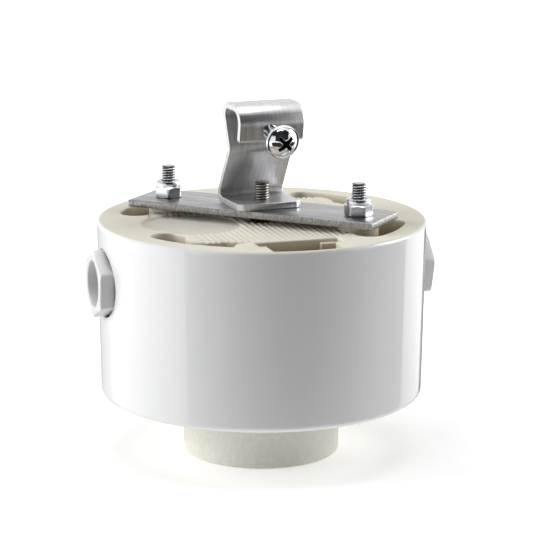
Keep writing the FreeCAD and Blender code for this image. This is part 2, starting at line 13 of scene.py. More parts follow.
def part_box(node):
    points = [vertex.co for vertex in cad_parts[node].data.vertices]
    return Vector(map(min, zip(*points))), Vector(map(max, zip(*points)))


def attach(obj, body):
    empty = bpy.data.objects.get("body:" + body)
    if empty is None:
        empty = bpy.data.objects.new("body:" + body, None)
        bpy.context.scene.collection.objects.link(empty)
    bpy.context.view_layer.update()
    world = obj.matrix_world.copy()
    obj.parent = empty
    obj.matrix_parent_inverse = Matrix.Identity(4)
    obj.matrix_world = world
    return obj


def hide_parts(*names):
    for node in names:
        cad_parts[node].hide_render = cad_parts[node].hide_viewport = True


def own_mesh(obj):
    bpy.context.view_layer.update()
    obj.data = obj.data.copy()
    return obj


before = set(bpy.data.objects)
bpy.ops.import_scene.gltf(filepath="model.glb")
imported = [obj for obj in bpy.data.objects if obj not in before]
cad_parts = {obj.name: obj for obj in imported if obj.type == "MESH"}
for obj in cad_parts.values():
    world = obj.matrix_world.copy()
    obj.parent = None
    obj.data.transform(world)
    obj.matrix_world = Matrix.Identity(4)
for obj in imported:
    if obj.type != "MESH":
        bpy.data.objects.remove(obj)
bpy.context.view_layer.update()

bl_info = {
    "name": "Porcelain lamp holder",
    "version": (1, 0, 0),
    "blender": (4, 5, 0),
    "location": "3D View > Sidebar > Lamp holder",
    "description": "Builds the visible pieces and finishes of a hanging porcelain lamp holder",
    "category": "Object",
}

MM = 0.001
TURN = 2 * math.pi

# Heights are in mm above the lamp mouth, other places in mm from the holder's axis.
RIM = 65.2                                  # the body's flat back
BODY_BOTTOM = 16.6
WINDOW_LOW, WINDOW_HIGH = 37.0, 62.4        # the part of the side that is worked round each gland
WINDOW_REACH = 16.5                         # degrees to each side of the gland
POCKET_FLOOR = RIM - 4.6
POCKET_OUTER, POCKET_MIDDLE = 39.2, 35.1    # radii of a kidney pocket's outer arc and middle line
POCKET_END, POCKET_END_RUN = 4.1, 3.9       # its half-round ends, across and along the middle line
PAD_RADIUS = 31.0                           # the sunk ribbed middle, and the pockets' inner arc
BOSS_RADIUS, STUD_BOSS_RADIUS = 6.0, 5.4    # ribbed bosses, and the raised ones that carry the strap
CENTRE_HOLE, BACK_RADIUS = 5.4, 43.9         # the back's flat face ends where the rim's round begins
DISH, DISH_RADIUS = (-20.4, -1.4), 13.4
RIBS, GROOVE_SHARE = 14, 0.42               # ribs to each side; half a groove's width in rib pitches
NOTCH_HALF, NOTCH_EDGE = 11.9, -28.9        # the ribs stop here, beside and before the square notch
BOLT_CIRCLE, STRAP_TURN = 28.8, 43.3        # radius of the studs; degrees between strap and X
BOLT_SEAT = 20.6                            # the bolts' heads bear here
BOLT_END, CENTRE_END = RIM + 12.1, RIM + 10.0
STRAP_UNDER = RIM + 1.4
STRAP_TOP = STRAP_UNDER + 1.9
FLANGE_TOP = STRAP_TOP + 1.85
GLAND_Z = 49.7
GLAND_FACE = 47.7
SEAT_X, SEAT_R = 43.1, 9.3                  # the flat spot that a gland's seal lies on
HOOK_YAW = math.radians(4.8)
LIP_TILT = math.radians(9.0)
LIP_HOLE = np.array([-0.7, -6.18, RIM + 25.1])
# Thread faces inside M4_SHADE get painted shade.
M4_CREST, M4_SHADE, M4_ROOT, M4_PITCH = 2.0, 1.86, 1.58, 0.7    # below M4_SHADE a thread is darker
HEAD_FRONT = -12.7                          # middle of the clamp screw's face, from the lip's hole
HEAD_RADIUS, FACE_RADIUS, FACE_FALL = 4.6, 3.75, 1.75
CAMERA_COS, CAMERA_SIN = 0.9527, 0.3040     # the camera stands 17.7 degrees left of -Y
MIDDLE = (0.0, 0.0, 0.045)                  # in metres: the lamps and cards face this point


# ---- sizes and colours ----

def length(name, description, millimetres):
    return FloatProperty(name=name, description=description, default=millimetres * MM,
                         subtype="DISTANCE", unit="LENGTH", precision=4)


def colour(name, description, value):
    return FloatVectorProperty(name=name, description=description, default=value, subtype="COLOR",
                               size=3, min=0.0, max=1.0)


class HolderSizes(bpy.types.PropertyGroup):
    """Sizes of the visible pieces"""
    body_radius: length("Body radius", "Radius of the porcelain body at its rim", 45.0)
    body_radius_low: length("Body radius, low", "Radius of the porcelain body at its underside", 44.2)
    lip_round: length("Lip round", "How softly the edges of the pockets in the back are rounded", 0.45)
    rib_pitch: length("Rib pitch", "Distance between the ribs in the middle of the back", 1.64)
    rib_depth: length("Rib depth", "Depth of the grooves between the ribs", 0.32)
    strap_length: length("Strap length", "Length of the flat bar across the back", 73.2)
    strap_width: length("Strap width", "Width of the flat bar across the back", 18.6)
    hook_width: length("Hook width", "Width of the bent strip that hooks on the wire", 18.6)
    hook_thick: length("Hook thickness", "Thickness of the bent strip", 1.8)
    nut_flats: length("Nut size", "Distance across the flats of the lock nuts", 7.0)
    gland_flats: length("Gland size", "Distance across the flats of the cable glands", 16.6)
    gland_bore: length("Gland bore", "Radius of the hole for the cable", 6.2)


class HolderColours(bpy.types.PropertyGroup):
    """Colours of the finishes"""
    glaze: colour("Glaze", "The glossy white glaze on the side", (0.84, 0.843, 0.85))
    bare: colour("Bare porcelain", "The unglazed cream of the back", (0.82, 0.79, 0.68))
    # Painted shade: pockets, grooves and the glands' seats are darkened towards this colour by their depth
    # below the rim.
    bare_painted_shade: colour("Bare porcelain in painted shade", "Painted shade on the bare ground of pockets, grooves and gland seats", (0.32, 0.24, 0.12))
    steatite: colour("Neck", "The unglazed neck", (0.87, 0.85, 0.77))
    steel: colour("Rolled steel", "Faces of the strap and hook", (0.5, 0.5, 0.51))
    sheared: colour("Sheared steel", "Cut edges of the strap", (0.42, 0.415, 0.405))
    zinc: colour("Zinc plate", "Bolts and lock nuts", (0.68, 0.7, 0.73))
    stainless: colour("Stainless steel", "The centre screw", (0.62, 0.59, 0.54))
    bright: colour("Bright plate", "The clamp screw", (0.8, 0.82, 0.85))
    plastic: colour("Gland plastic", "The cable glands", (0.77, 0.77, 0.765))
    rubber: colour("Rubber", "Seals and gasket", (0.025, 0.025, 0.026))
    brass: colour("Brass", "The lamp shell and the terminals", (0.66, 0.46, 0.19))


# ---- surfaces as arrays ----

def grid_faces(rows, columns, wrap_rows=False):
    """Quads of a grid of points numbered row by row; each row is a loop, and so are the rows if wrapped."""
    r, c = np.meshgrid(np.arange(rows if wrap_rows else rows - 1), np.arange(columns), indexing="ij")
    r2, c2 = (r + 1) % rows, (c + 1) % columns
    corners = [r * columns + c, r * columns + c2, r2 * columns + c2, r2 * columns + c]
    return np.stack(corners, -1).reshape(-1, 4).tolist()


def angles(steps):
    """Even angles once round, from 0."""
    return np.arange(steps) * TURN / steps


def ringed(radius, height, steps, wrap_rows=False):
    """Rings about Z: point (row, k) = (r cos a, r sin a, z), a going once round; r and z may change with a."""
    angle = angles(steps)
    radius = np.stack([np.broadcast_to(r, steps) for r in radius])
    height = np.stack([np.broadcast_to(z, steps) for z in height])
    points = np.stack([radius * np.cos(angle), radius * np.sin(angle), height], -1)
    return points.reshape(-1, 3), grid_faces(len(radius), steps, wrap_rows)


def moved(shape, offset):
    """(points, faces) shifted by a vector."""
    return shape[0] + offset, shape[1]


def joined(*shapes):
    """Several (points, faces) as one."""
    points, faces, offset = [], [], 0
    for some_points, some_faces in shapes:
        points.append(some_points)
        faces += [[i + offset for i in face] for face in some_faces]
        offset += len(some_points)
    return np.concatenate(points), faces


def closed_rings(rings, first_end=0):
    """Equal rings of points as one skin: quads between them and a face on the last ring.

    The first ring has a face too if first_end is 1, or -1 for a face that goes round it the other way.
    """
    count = len(rings[0])
    last = (len(rings) - 1) * count
    faces = grid_faces(len(rings), count)
    if first_end:
        faces.append(list(range(count))[::first_end])
    faces.append(list(range(last, last + count)))
    return np.concatenate(rings), faces


def polar(radius, angle):
    """Plane points at these radii and angles."""
    return np.column_stack([radius * np.cos(angle), radius * np.sin(angle)])


def circle(radius, count, centre=(0.0, 0.0)):
    return polar(radius, angles(count)) + centre


def run_of(line):
    """Length along a line up to each of its points."""
    return np.concatenate([[0], np.cumsum(np.linalg.norm(np.diff(line, axis=0), axis=1))])


def walked(line, at):
    """Points of a plane line at given lengths along it."""
    run = run_of(line)
    return np.column_stack([np.interp(at, run, line[:, 0]), np.interp(at, run, line[:, 1])])


def even(loop, step):
    """A closed outline walked at even steps."""
    closed = np.concatenate([loop, loop[:1]])
    whole = run_of(closed)[-1]
    return walked(closed, np.linspace(0, whole, max(int(whole / step), 12), endpoint=False))


def softened(corners, radii, steps=4, closed=False):
    """A bent line whose corners are arcs: each arc touches both sides at radius x tan(half the turn)."""
    corners = np.asarray(corners, float)
    count = len(corners)
    radii = np.broadcast_to(radii, count)
    line = []
    for i, corner in enumerate(corners):
        if not closed and i in (0, count - 1):
            line.append(corner[None])
            continue
        before = corner - corners[i - 1]
        after = corners[(i + 1) % count] - corner
        before, after = before / np.linalg.norm(before), after / np.linalg.norm(after)
        turn = math.acos(float(np.clip(before @ after, -1, 1)))
        if turn < 1e-3 or radii[i] <= 0:
            line.append(corner[None])
            continue
        reach = radii[i] * math.tan(turn / 2)
        middle = (after - before) / np.linalg.norm(after - before)
        centre = corner + middle * radii[i] / math.cos(turn / 2)
        a = np.linspace(-turn / 2, turn / 2, steps + 1)[:, None]
        along = (before + after) / np.linalg.norm(before + after)
        line.append(centre - middle * radii[i] * np.cos(a) + along * radii[i] * np.sin(a))
    return np.concatenate(line)


def outward(loop):
    """Unit normals of a closed outline, away from its inside: the tangent turned by a right angle."""
    tangent = np.roll(loop, -1, 0) - np.roll(loop, 1, 0)
    tangent /= np.linalg.norm(tangent, axis=1)[:, None]
    area = np.sum(loop[:, 0] * np.roll(loop[:, 1], -1) - loop[:, 1] * np.roll(loop[:, 0], -1))
    return np.stack([tangent[:, 1], -tangent[:, 0]], -1) * (1 if area > 0 else -1)


def inside(points, loop):
    """True where a point lies in a closed outline: a line to the right crosses it an odd number of times."""
    x, y = points[:, 0][:, None], points[:, 1][:, None]
    ax, ay = loop[:, 0][None], loop[:, 1][None]
    bx, by = np.roll(ax, -1, 1), np.roll(ay, -1, 1)
    crosses = (ay > y) != (by > y)
    at = ax + (y - ay) * (bx - ax) / np.where(by == ay, 1e-12, by - ay)
    return (np.sum(crosses & (x < at), 1) % 2).astype(bool)


def triangulated(lines, loose=()):
    """Triangles over plane points: each line's loop, or its one edge if it has two points, stays an edge.

    Loose lines give their points only.
    """
    edges, first = [], 0
    for line in lines:
        count = len(line)
        edges += [(first + i, first + (i + 1) % count) for i in range(count if count > 2 else 1)]
        first += count
    points = [Vector(p) for p in np.concatenate([*lines, *loose])]
    result = delaunay_2d_cdt(points, edges, [], 0, 1e-5)
    return np.array([tuple(p) for p in result[0]]), np.array(result[2])


def prism(outline, levels):
    """An outline carried through (inset, z) levels: each ring is the outline moved in along its normals."""
    normal = outward(outline)
    return closed_rings([np.column_stack([outline - normal * inset, np.full(len(outline), z)])
                         for inset, z in levels], -1)


def turned_about(points, angle, axis=2):
    """Points turned about X (0), Y (1) or Z (2) by an angle in radians."""
    c, s = math.cos(angle), math.sin(angle)
    i, j = [(1, 2), (2, 0), (0, 1)][axis]
    result = np.array(points, float)
    result[:, i] = points[:, i] * c - points[:, j] * s
    result[:, j] = points[:, i] * s + points[:, j] * c
    return result


def along_gland(points, side):
    """Lays points made about +Z, outer end up, on a gland's axis."""
    result = turned_about(points, side * math.pi / 2, 1)
    return result + [0, 0, GLAND_Z]


def along_clamp(points):
    """Lays points made about +Z, tip up, on the clamp screw's line."""
    return turned_about(turned_about(points, -math.pi / 2 + LIP_TILT, 0) + LIP_HOLE, HOOK_YAW)


def frame_box(node):
    """A node's lowest and highest corners at rest, in mm."""
    low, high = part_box(node)
    return np.array(low) / MM, np.array(high) / MM


def bolt_at(side):
    """Place of the left (-1) or right (1) stud."""
    angle = math.radians(-STRAP_TURN)
    return np.array([math.cos(angle), math.sin(angle), 0.0]) * (side * BOLT_CIRCLE)


def piece(name, shape, finishes, nodes, body, sharp=35.0, choose=None):
    """A finished object from (points in mm, faces): doubles merged, faces outwards, edges sharp past an angle.

    choose gives each face's finish from the faces' middles and normals.
    """
    points, faces = shape
    mesh = bpy.data.meshes.new(name)
    mesh.from_pydata((np.asarray(points) * MM).tolist(), [], faces)
    work = bmesh.new()
    work.from_mesh(mesh)
    bmesh.ops.remove_doubles(work, verts=work.verts, dist=2e-6)
    bmesh.ops.dissolve_degenerate(work, edges=work.edges, dist=1e-7)
    bmesh.ops.recalc_face_normals(work, faces=work.faces)
    work.to_mesh(mesh)
    work.free()
    for material in finishes:
        mesh.materials.append(material)
    if choose is not None:
        centres = np.zeros(len(mesh.polygons) * 3)
        normals = np.zeros(len(mesh.polygons) * 3)
        mesh.polygons.foreach_get("center", centres)
        mesh.polygons.foreach_get("normal", normals)
        which = choose(centres.reshape(-1, 3) / MM, normals.reshape(-1, 3)).astype(np.int32)
        mesh.polygons.foreach_set("material_index", which)
    mesh.shade_smooth()
    mesh.set_sharp_from_angle(angle=math.radians(sharp))
    made = bpy.data.objects.new(name, mesh)
    bpy.context.scene.collection.objects.link(made)
    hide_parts(*nodes)
    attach(made, body)
    return made


# ---- shader groups ----

def add(tree, kind, sockets=None, **settings):
    """A node with its settings and inputs; an input is a value or another node's output."""
    made = tree.nodes.new(kind)
    for name, value in settings.items():
        setattr(made, name, value)
    for name, value in (sockets or {}).items():
        if isinstance(value, bpy.types.NodeSocket):
            tree.links.new(value, made.inputs[name])
        else:
            made.inputs[name].default_value = value
    return made


def ramp(tree, value, low, high, to_low=0.0, to_high=1.0):
    """value from low..high to to_low..to_high, held at both ends."""
    return add(tree, "ShaderNodeMapRange", {"Value": value, "From Min": low, "From Max": high,
                                            "To Min": to_low, "To Max": to_high}).outputs["Result"]


def maths(tree, operation, a, b=0.0):
    return add(tree, "ShaderNodeMath", {0: a, 1: b}, operation=operation).outputs[0]


def mixed(tree, factor, a, b):
    """Colour a where factor is 0, b where it is 1."""
    made = tree.nodes.new("ShaderNodeMix")
    made.data_type = "RGBA"
    for index, value in ((0, factor), (6, a), (7, b)):
        if isinstance(value, bpy.types.NodeSocket):
            tree.links.new(value, made.inputs[index])
        else:
            made.inputs[index].default_value = value if index == 0 else (*value[:3], 1.0)
    return made.outputs[2]


def new_group(name, inputs, outputs):
    """A shader group with number inputs and their defaults, and outputs."""
    group = bpy.data.node_groups.new(name, "ShaderNodeTree")
    for label, default in inputs.items():
        made = group.interface.new_socket(name=label, in_out="INPUT", socket_type="NodeSocketFloat")
        made.default_value = default
    for label in outputs:
        group.interface.new_socket(name=label, in_out="OUTPUT", socket_type="NodeSocketFloat")
    return group, group.nodes.new("NodeGroupInput"), group.nodes.new("NodeGroupOutput")


def here(tree):
    """The object's own coordinates."""
    return add(tree, "ShaderNodeTexCoord").outputs["Object"]


def noise(tree, scale, detail=4.0, rough=0.6, stretch=(1, 1, 1)):
    """Noise on object coordinates, stretched by a vector of scales."""
    spread = add(tree, "ShaderNodeMapping", {"Vector": here(tree), "Scale": stretch}).outputs["Vector"]
    return add(tree, "ShaderNodeTexNoise", {"Vector": spread, "Scale": scale, "Detail": detail,
                                            "Roughness": rough}).outputs["Fac"]


def group_edge_mask():
    """Mask that is 1 on convex edges: how far the rounded normal leans from the true one, times noise."""
    group, given, out = new_group("Edge wear", {"Width": 0.0004, "Strength": 4.0, "Noise scale": 900.0},
                                  ["Mask"])
    true = add(group, "ShaderNodeNewGeometry").outputs["Normal"]
    rounded = add(group, "ShaderNodeBevel", {"Radius": given.outputs["Width"]}, samples=6).outputs["Normal"]
    agree = add(group, "ShaderNodeVectorMath", {0: true, 1: rounded}, operation="DOT_PRODUCT").outputs["Value"]
    strong = maths(group, "MULTIPLY", maths(group, "SUBTRACT", 1.0, agree), given.outputs["Strength"])
    patches = add(group, "ShaderNodeTexNoise", {"Vector": here(group), "Scale": given.outputs["Noise scale"]})
    broken = maths(group, "MULTIPLY", strong, ramp(group, patches.outputs["Fac"], 0.3, 0.7, 0.4, 1.3))
    group.links.new(add(group, "ShaderNodeClamp", {"Value": broken}).outputs[0], out.inputs["Mask"])
    return group


def group_ceramic_grain():
    """Fine ceramic grain: a height made of two noises and a mask of small dark specks."""
    group, given, out = new_group("Ceramic grain", {"Scale": 2500.0, "Specks": 0.5}, ["Height", "Specks"])
    place, scale = here(group), given.outputs["Scale"]
    fine = add(group, "ShaderNodeTexNoise", {"Vector": place, "Scale": scale, "Detail": 3.0})
    broad = add(group, "ShaderNodeTexNoise", {"Vector": place, "Scale": maths(group, "MULTIPLY", scale, 0.12),
                                              "Detail": 4.0})
    height = maths(group, "ADD", fine.outputs["Fac"], maths(group, "MULTIPLY", broad.outputs["Fac"], 1.5))
    cells = add(group, "ShaderNodeTexVoronoi", {"Vector": place, "Scale": maths(group, "MULTIPLY", scale, 0.5)})
    dots = ramp(group, cells.outputs["Distance"], 0.05, 0.22, 1.0, 0.0)
    some = ramp(group, broad.outputs["Fac"], 0.52, 0.62)
    specks = maths(group, "MULTIPLY", maths(group, "MULTIPLY", dots, some), given.outputs["Specks"])
    group.links.new(height, out.inputs["Height"])
    group.links.new(specks, out.inputs["Specks"])
    return group


def group_metal_grain():
    """Rolled or drawn metal: fine lines along one direction, with broader smudges over them."""
    group, given, out = new_group("Metal grain", {"Along": 60.0, "Across": 2400.0, "Turn": 0.0},
                                  ["Lines", "Smudge"])
    turned_place = add(group, "ShaderNodeVectorRotate", {"Vector": here(group), "Angle": given.outputs["Turn"]},
                       rotation_type="Z_AXIS").outputs["Vector"]
    spread = add(group, "ShaderNodeCombineXYZ", {"X": given.outputs["Along"], "Y": given.outputs["Across"],
                                                 "Z": given.outputs["Across"]}).outputs[0]
    scaled = add(group, "ShaderNodeVectorMath", {0: turned_place, 1: spread}, operation="MULTIPLY").outputs[0]
    lines = add(group, "ShaderNodeTexNoise", {"Vector": scaled, "Scale": 1.0, "Detail": 3.0}).outputs["Fac"]
    smudge = add(group, "ShaderNodeTexNoise", {"Vector": turned_place, "Scale": 110.0, "Detail": 5.0,
                                               "Roughness": 0.65}).outputs["Fac"]
    group.links.new(lines, out.inputs["Lines"])
    group.links.new(smudge, out.inputs["Smudge"])
    return group


GROUPS = {}


def effect(tree, maker, **values):
    """A shared effect in a material, built once by its maker, with this material's own values."""
    if maker not in GROUPS:
        GROUPS[maker] = maker()
    made = tree.nodes.new("ShaderNodeGroup")
    made.node_tree = GROUPS[maker]
    for label, value in values.items():
        made.inputs[label.replace("_", " ")].default_value = value
    return made.outputs


def bump(tree, height, distance):
    sockets = {"Height": height, "Distance": distance, "Strength": 1.0}
    return add(tree, "ShaderNodeBump", sockets).outputs["Normal"]


def finish(name, **constants):
    """A material with one Principled shader and its constants, as (material, node tree, shader)."""
    material = bpy.data.materials.new(name)
    material.use_nodes = True
    tree = material.node_tree
    shader = tree.nodes["Principled BSDF"]
    for label, value in constants.items():
        shader.inputs[label.replace("_", " ")].default_value = value
    return material, tree, shader


def feed(shader, **outputs):
    """Links outputs to a shader's sockets; an underscore in a name is a space."""
    for label, output in outputs.items():
        shader.id_data.links.new(output, shader.inputs[label.replace("_", " ")])


def shaded(tint, share):
    """A colour made darker or lighter."""
    return [c * share for c in tint]


# ---- finishes ----

FINISHES = {}


def kept(maker):
    """Each finish is made once and then shared."""
    def get():
        if maker.__name__ not in FINISHES:
            FINISHES[maker.__name__] = maker(bpy.context.scene.holder_colours)
        return FINISHES[maker.__name__]
    return get


@kept
def porcelain(colours):
    """Glossy glaze outside the rim, bare cream inside it; pockets and grooves get painted shade, darker with
    depth.
    """
    material, tree, shader = finish("Glazed porcelain", IOR=1.5, Coat_Roughness=0.04, Coat_IOR=1.5)
    part = add(tree, "ShaderNodeSeparateXYZ", {"Vector": here(tree)}).outputs
    flat = add(tree, "ShaderNodeCombineXYZ", {"X": part["X"], "Y": part["Y"]}).outputs[0]
    radius = add(tree, "ShaderNodeVectorMath", {0: flat}, operation="LENGTH").outputs["Value"]
    wander = noise(tree, 90.0, 3.0)

    # the glaze ends on a wandering line at the rim, and at the glands' seats
    below = maths(tree, "MULTIPLY", maths(tree, "SUBTRACT", RIM * MM, part["Z"]), 0.25)
    edge = maths(tree, "ADD", maths(tree, "ADD", radius, below), maths(tree, "MULTIPLY", wander, 0.0004))
    above_gland = maths(tree, "SUBTRACT", part["Z"], GLAND_Z * MM)
    from_gland = add(tree, "ShaderNodeCombineXYZ", {"Y": part["Y"], "Z": above_gland}).outputs[0]
    seat_radius = add(tree, "ShaderNodeVectorMath", {0: from_gland}, operation="LENGTH").outputs["Value"]
    glazed = maths(tree, "MULTIPLY", ramp(tree, edge, 0.04475, 0.04505),
                   ramp(tree, seat_radius, 0.0092, 0.0094))

    # the bare back: painted shade that darkens with depth below the rim (pockets, grooves, the glands' seats),
    # dark specks, painted shade that greys the dish, and pale clouds
    grain = effect(tree, group_ceramic_grain, Scale=1900.0, Specks=0.35)
    # Painted shade: the bare porcelain darkens with depth below the rim, broken up by noise.
    deep = ramp(tree, part["Z"], RIM * MM - 0.0002, RIM * MM - 0.0032)
    shade = maths(tree, "MULTIPLY", deep, ramp(tree, wander, 0.3, 0.7, 0.75, 1.0))
    bare = mixed(tree, shade, colours.bare, colours.bare_painted_shade)
    bare = mixed(tree, grain["Specks"], bare, (0.35, 0.27, 0.18))
    # Painted shade: the sunk dish is greyed halfway towards (0.62, 0.61, 0.57).
    middle = (DISH[0] * MM, DISH[1] * MM, 0.0)
    from_dish = add(tree, "ShaderNodeVectorMath", {0: flat, 1: middle}, operation="DISTANCE").outputs["Value"]
    in_dish = ramp(tree, from_dish, 0.0137, 0.0112)
    bare = mixed(tree, maths(tree, "MULTIPLY", in_dish, 0.5), bare, (0.62, 0.61, 0.57))
    broad = noise(tree, 45.0, 5.0)
    bare = mixed(tree, ramp(tree, broad, 0.35, 0.75, 0.0, 0.25), bare, (0.86, 0.82, 0.75))

    glaze = mixed(tree, ramp(tree, broad, 0.3, 0.7), colours.glaze, shaded(colours.glaze, 0.985))
    matt = maths(tree, "MULTIPLY", grain["Height"], ramp(tree, glazed, 0.0, 1.0, 0.00005, 0.0))
    peel = maths(tree, "MULTIPLY", noise(tree, 260.0, 1.5, 0.4), 0.00005)
    feed(shader, Base_Color=mixed(tree, glazed, bare, glaze),
         Roughness=ramp(tree, glazed, 0.0, 1.0, 0.85, 0.42), Coat_Weight=glazed,
         Normal=bump(tree, maths(tree, "ADD", matt, peel), 1.0))
    return material


@kept
def steatite(colours):
    """Unglazed neck: fine grain, a few specks."""
    material, tree, shader = finish("Unglazed steatite", Roughness=0.7, IOR=1.5)
    grain = effect(tree, group_ceramic_grain, Scale=1500.0, Specks=0.55)
    broad = noise(tree, 120.0, 6.0)
    base = mixed(tree, ramp(tree, broad, 0.3, 0.7), colours.steatite, shaded(colours.steatite, 0.93))
    fine = noise(tree, 1100.0, 5.0, stretch=(1, 1, 0.6))
    base = mixed(tree, ramp(tree, fine, 0.35, 0.65), shaded(colours.steatite, 0.88), base)
    base = mixed(tree, grain["Specks"], base, (0.4, 0.36, 0.3))
    feed(shader, Base_Color=base, Normal=bump(tree, grain["Height"], 0.00009))
    return material


def metal(name, tint, rough, along=300.0, across=1500.0, turn=0.0, depth=0.000004, contrast=0.2, edge=0.4,
          spread=0.12):
    """Metal with lines along one direction, smudges in its gloss, and lighter worn edges."""
    material, tree, shader = finish(name, Metallic=1.0)
    grain = effect(tree, group_metal_grain, Along=along, Across=across, Turn=turn)
    lines, smudge = grain["Lines"], grain["Smudge"]
    worn = effect(tree, group_edge_mask, Width=0.00025, Strength=5.0)["Mask"]
    base = mixed(tree, ramp(tree, lines, 0.32, 0.68), shaded(tint, 1 - contrast), tint)
    base = mixed(tree, ramp(tree, smudge, 0.45, 0.75, 0.0, 0.35), base, shaded(tint, 0.72))
    base = mixed(tree, maths(tree, "MULTIPLY", worn, edge), base, [min(c * 1.35, 0.95) for c in tint])
    feed(shader, Base_Color=base, Normal=bump(tree, lines, depth),
         Roughness=ramp(tree, smudge, 0.3, 0.7, rough - spread / 2, rough + spread / 2))
    return material


@kept
def rolled_strap(colours):
    return metal("Rolled steel, strap", colours.steel, 0.33, 90.0, 1500.0, math.radians(STRAP_TURN),
                 depth=0.00002, contrast=0.55, edge=0.5)


@kept
def rolled_hook(colours):
    return metal("Rolled steel, hook", [min(c * 1.4, 1) for c in colours.steel], 0.38,
                 1500.0, 160.0, -HOOK_YAW, depth=0.000006, edge=0.5)


@kept
def hook_edge(colours):
    """Cut edge of the hook, dressed smooth and bright."""
    return metal("Dressed edge, hook", (0.8, 0.8, 0.795), 0.4, 900.0, 900.0,
                 depth=0.000008, contrast=0.15, edge=0.2)


@kept
def sheared_steel(colours):
    """Cut edge of the strap: coarse bright grains across the thickness, torn and pitted."""
    material, tree, shader = finish("Sheared steel", Metallic=1.0)
    torn = noise(tree, 3600.0, 3.0, stretch=(1, 1, 0.3))
    coarse = noise(tree, 1900.0, 3.0, stretch=(1, 1, 0.6))
    both = maths(tree, "ADD", maths(tree, "MULTIPLY", torn, 0.6), maths(tree, "MULTIPLY", coarse, 0.4))
    base = mixed(tree, ramp(tree, both, 0.38, 0.62), shaded(colours.sheared, 0.6),
                 [min(1.3 * c, 0.9) for c in colours.sheared])
    feed(shader, Base_Color=base, Roughness=ramp(tree, both, 0.4, 0.6, 0.55, 0.32),
         Normal=bump(tree, both, 0.00018))
    return material


@kept
def zinc_plate(colours):
    return metal("Bright zinc plate", colours.zinc, 0.2, 500.0, 900.0, contrast=0.12, edge=0.6)


# Painted shade: a dark finish that stands for the shade in the roots of threads.
@kept
def thread_shade(colours):
    return metal("Painted shade in the thread roots", (0.15, 0.15, 0.15), 0.4, 500.0, 900.0, contrast=0.3, edge=0.1)


@kept
def stainless(colours):
    return metal("Stainless steel", colours.stainless, 0.27, 400.0, 1200.0, depth=0.000006, edge=0.5)


@kept
def bright_plate(colours):
    return metal("Bright plated steel", colours.bright, 0.09, 300.0, 600.0,
                 depth=0.000002, contrast=0.06, edge=0.3, spread=0.05)


# Painted shade: a near-black finish that stands for the shade in the clamp screw's cross recess.
@kept
def recess_painted_shade(colours):
    return metal("Painted shade in the cross recess", (0.07, 0.075, 0.085), 0.4, 300.0, 600.0,
                 depth=0.000002, contrast=0.3, edge=0.1)


@kept
def brass(colours):
    return metal("Pressed brass", colours.brass, 0.28, depth=0.000005)


@kept
def spring_steel(colours):
    return metal("Spring steel", (0.45, 0.45, 0.46), 0.3)


@kept
def gland_plastic(colours):
    """Satin moulded plastic: fine spark texture, slightly lighter edges."""
    material, tree, shader = finish("Moulded grey plastic", IOR=1.49)
    cloud = noise(tree, 150.0)
    worn = effect(tree, group_edge_mask, Width=0.0006, Strength=3.0)["Mask"]
    base = mixed(tree, ramp(tree, cloud, 0.35, 0.65), colours.plastic, shaded(colours.plastic, 0.95))
    base = mixed(tree, maths(tree, "MULTIPLY", worn, 0.4), base, (0.9, 0.9, 0.91))
    feed(shader, Base_Color=base, Roughness=ramp(tree, cloud, 0.3, 0.7, 0.3, 0.4),
         Normal=bump(tree, noise(tree, 3200.0, 2.0), 0.000015))
    return material


@kept
def nylon(colours):
    """Natural nylon: milky, softly mottled."""
    material, tree, shader = finish("Natural nylon", Roughness=0.45, IOR=1.53)
    cloud = noise(tree, 500.0)
    feed(shader, Base_Color=mixed(tree, cloud, (0.72, 0.72, 0.68), (0.6, 0.6, 0.55)),
         Normal=bump(tree, cloud, 0.00002))
    return material


@kept
def rubber(colours):
    """Soft black rubber with a dusty bloom."""
    material, tree, shader = finish("Black rubber", Roughness=0.75, IOR=1.5)
    bloom = noise(tree, 700.0, 5.0)
    base = mixed(tree, ramp(tree, bloom, 0.45, 0.75, 0.0, 0.5), colours.rubber, (0.08, 0.08, 0.078))
    feed(shader, Base_Color=base, Normal=bump(tree, bloom, 0.00003))
    return material


# ---- porcelain body ----

def window_loop(columns, rows):
    """The grid points, as (row, column), that go once round a window in the body's side."""
    low, high = columns
    bottom, top = rows
    return ([(bottom, c) for c in range(low, high)] + [(r, high) for r in range(bottom, top)]
            + [(top, c) for c in range(high, low, -1)] + [(r, low) for r in range(top, bottom, -1)])


def wall_radius(z, sizes):
    """Radius of the body's side at a height: it widens evenly from the underside to the rim."""
    top, low = sizes.body_radius / MM, sizes.body_radius_low / MM
    return low + (z - BODY_BOTTOM) / (RIM - BODY_BOTTOM) * (top - low)


def body_rows(sizes):
    """(radius, height) rows from the chamber's ceiling, round the underside and up the side to the rim."""
    top, low = sizes.body_radius / MM, sizes.body_radius_low / MM
    inner = [(0.0, 57.8), (34.0, 57.8), (34.0, 27.4), (36.6, 27.4), (36.6, 17.1), (36.75, 16.75), (37.1, 16.6)]
    a = np.linspace(0, math.pi / 2, 9)
    foot = np.column_stack([low - 2.0 + 2.03 * np.sin(a), BODY_BOTTOM + 2.0 - 2.0 * np.cos(a)])
    z = np.concatenate([np.linspace(18.6, WINDOW_LOW, 10)[1:], np.linspace(WINDOW_LOW, WINDOW_HIGH, 15)[1:],
                        [63.4]])
    wall = np.column_stack([wall_radius(z, sizes), z])
    a = np.linspace(0, math.pi / 2, 7)
    lip = np.column_stack([top - 0.9 + 0.9 * np.cos(a), RIM - 0.9 + 0.9 * np.sin(a)])
    return np.concatenate([inner, foot, wall, lip, [(BACK_RADIUS, RIM)]])


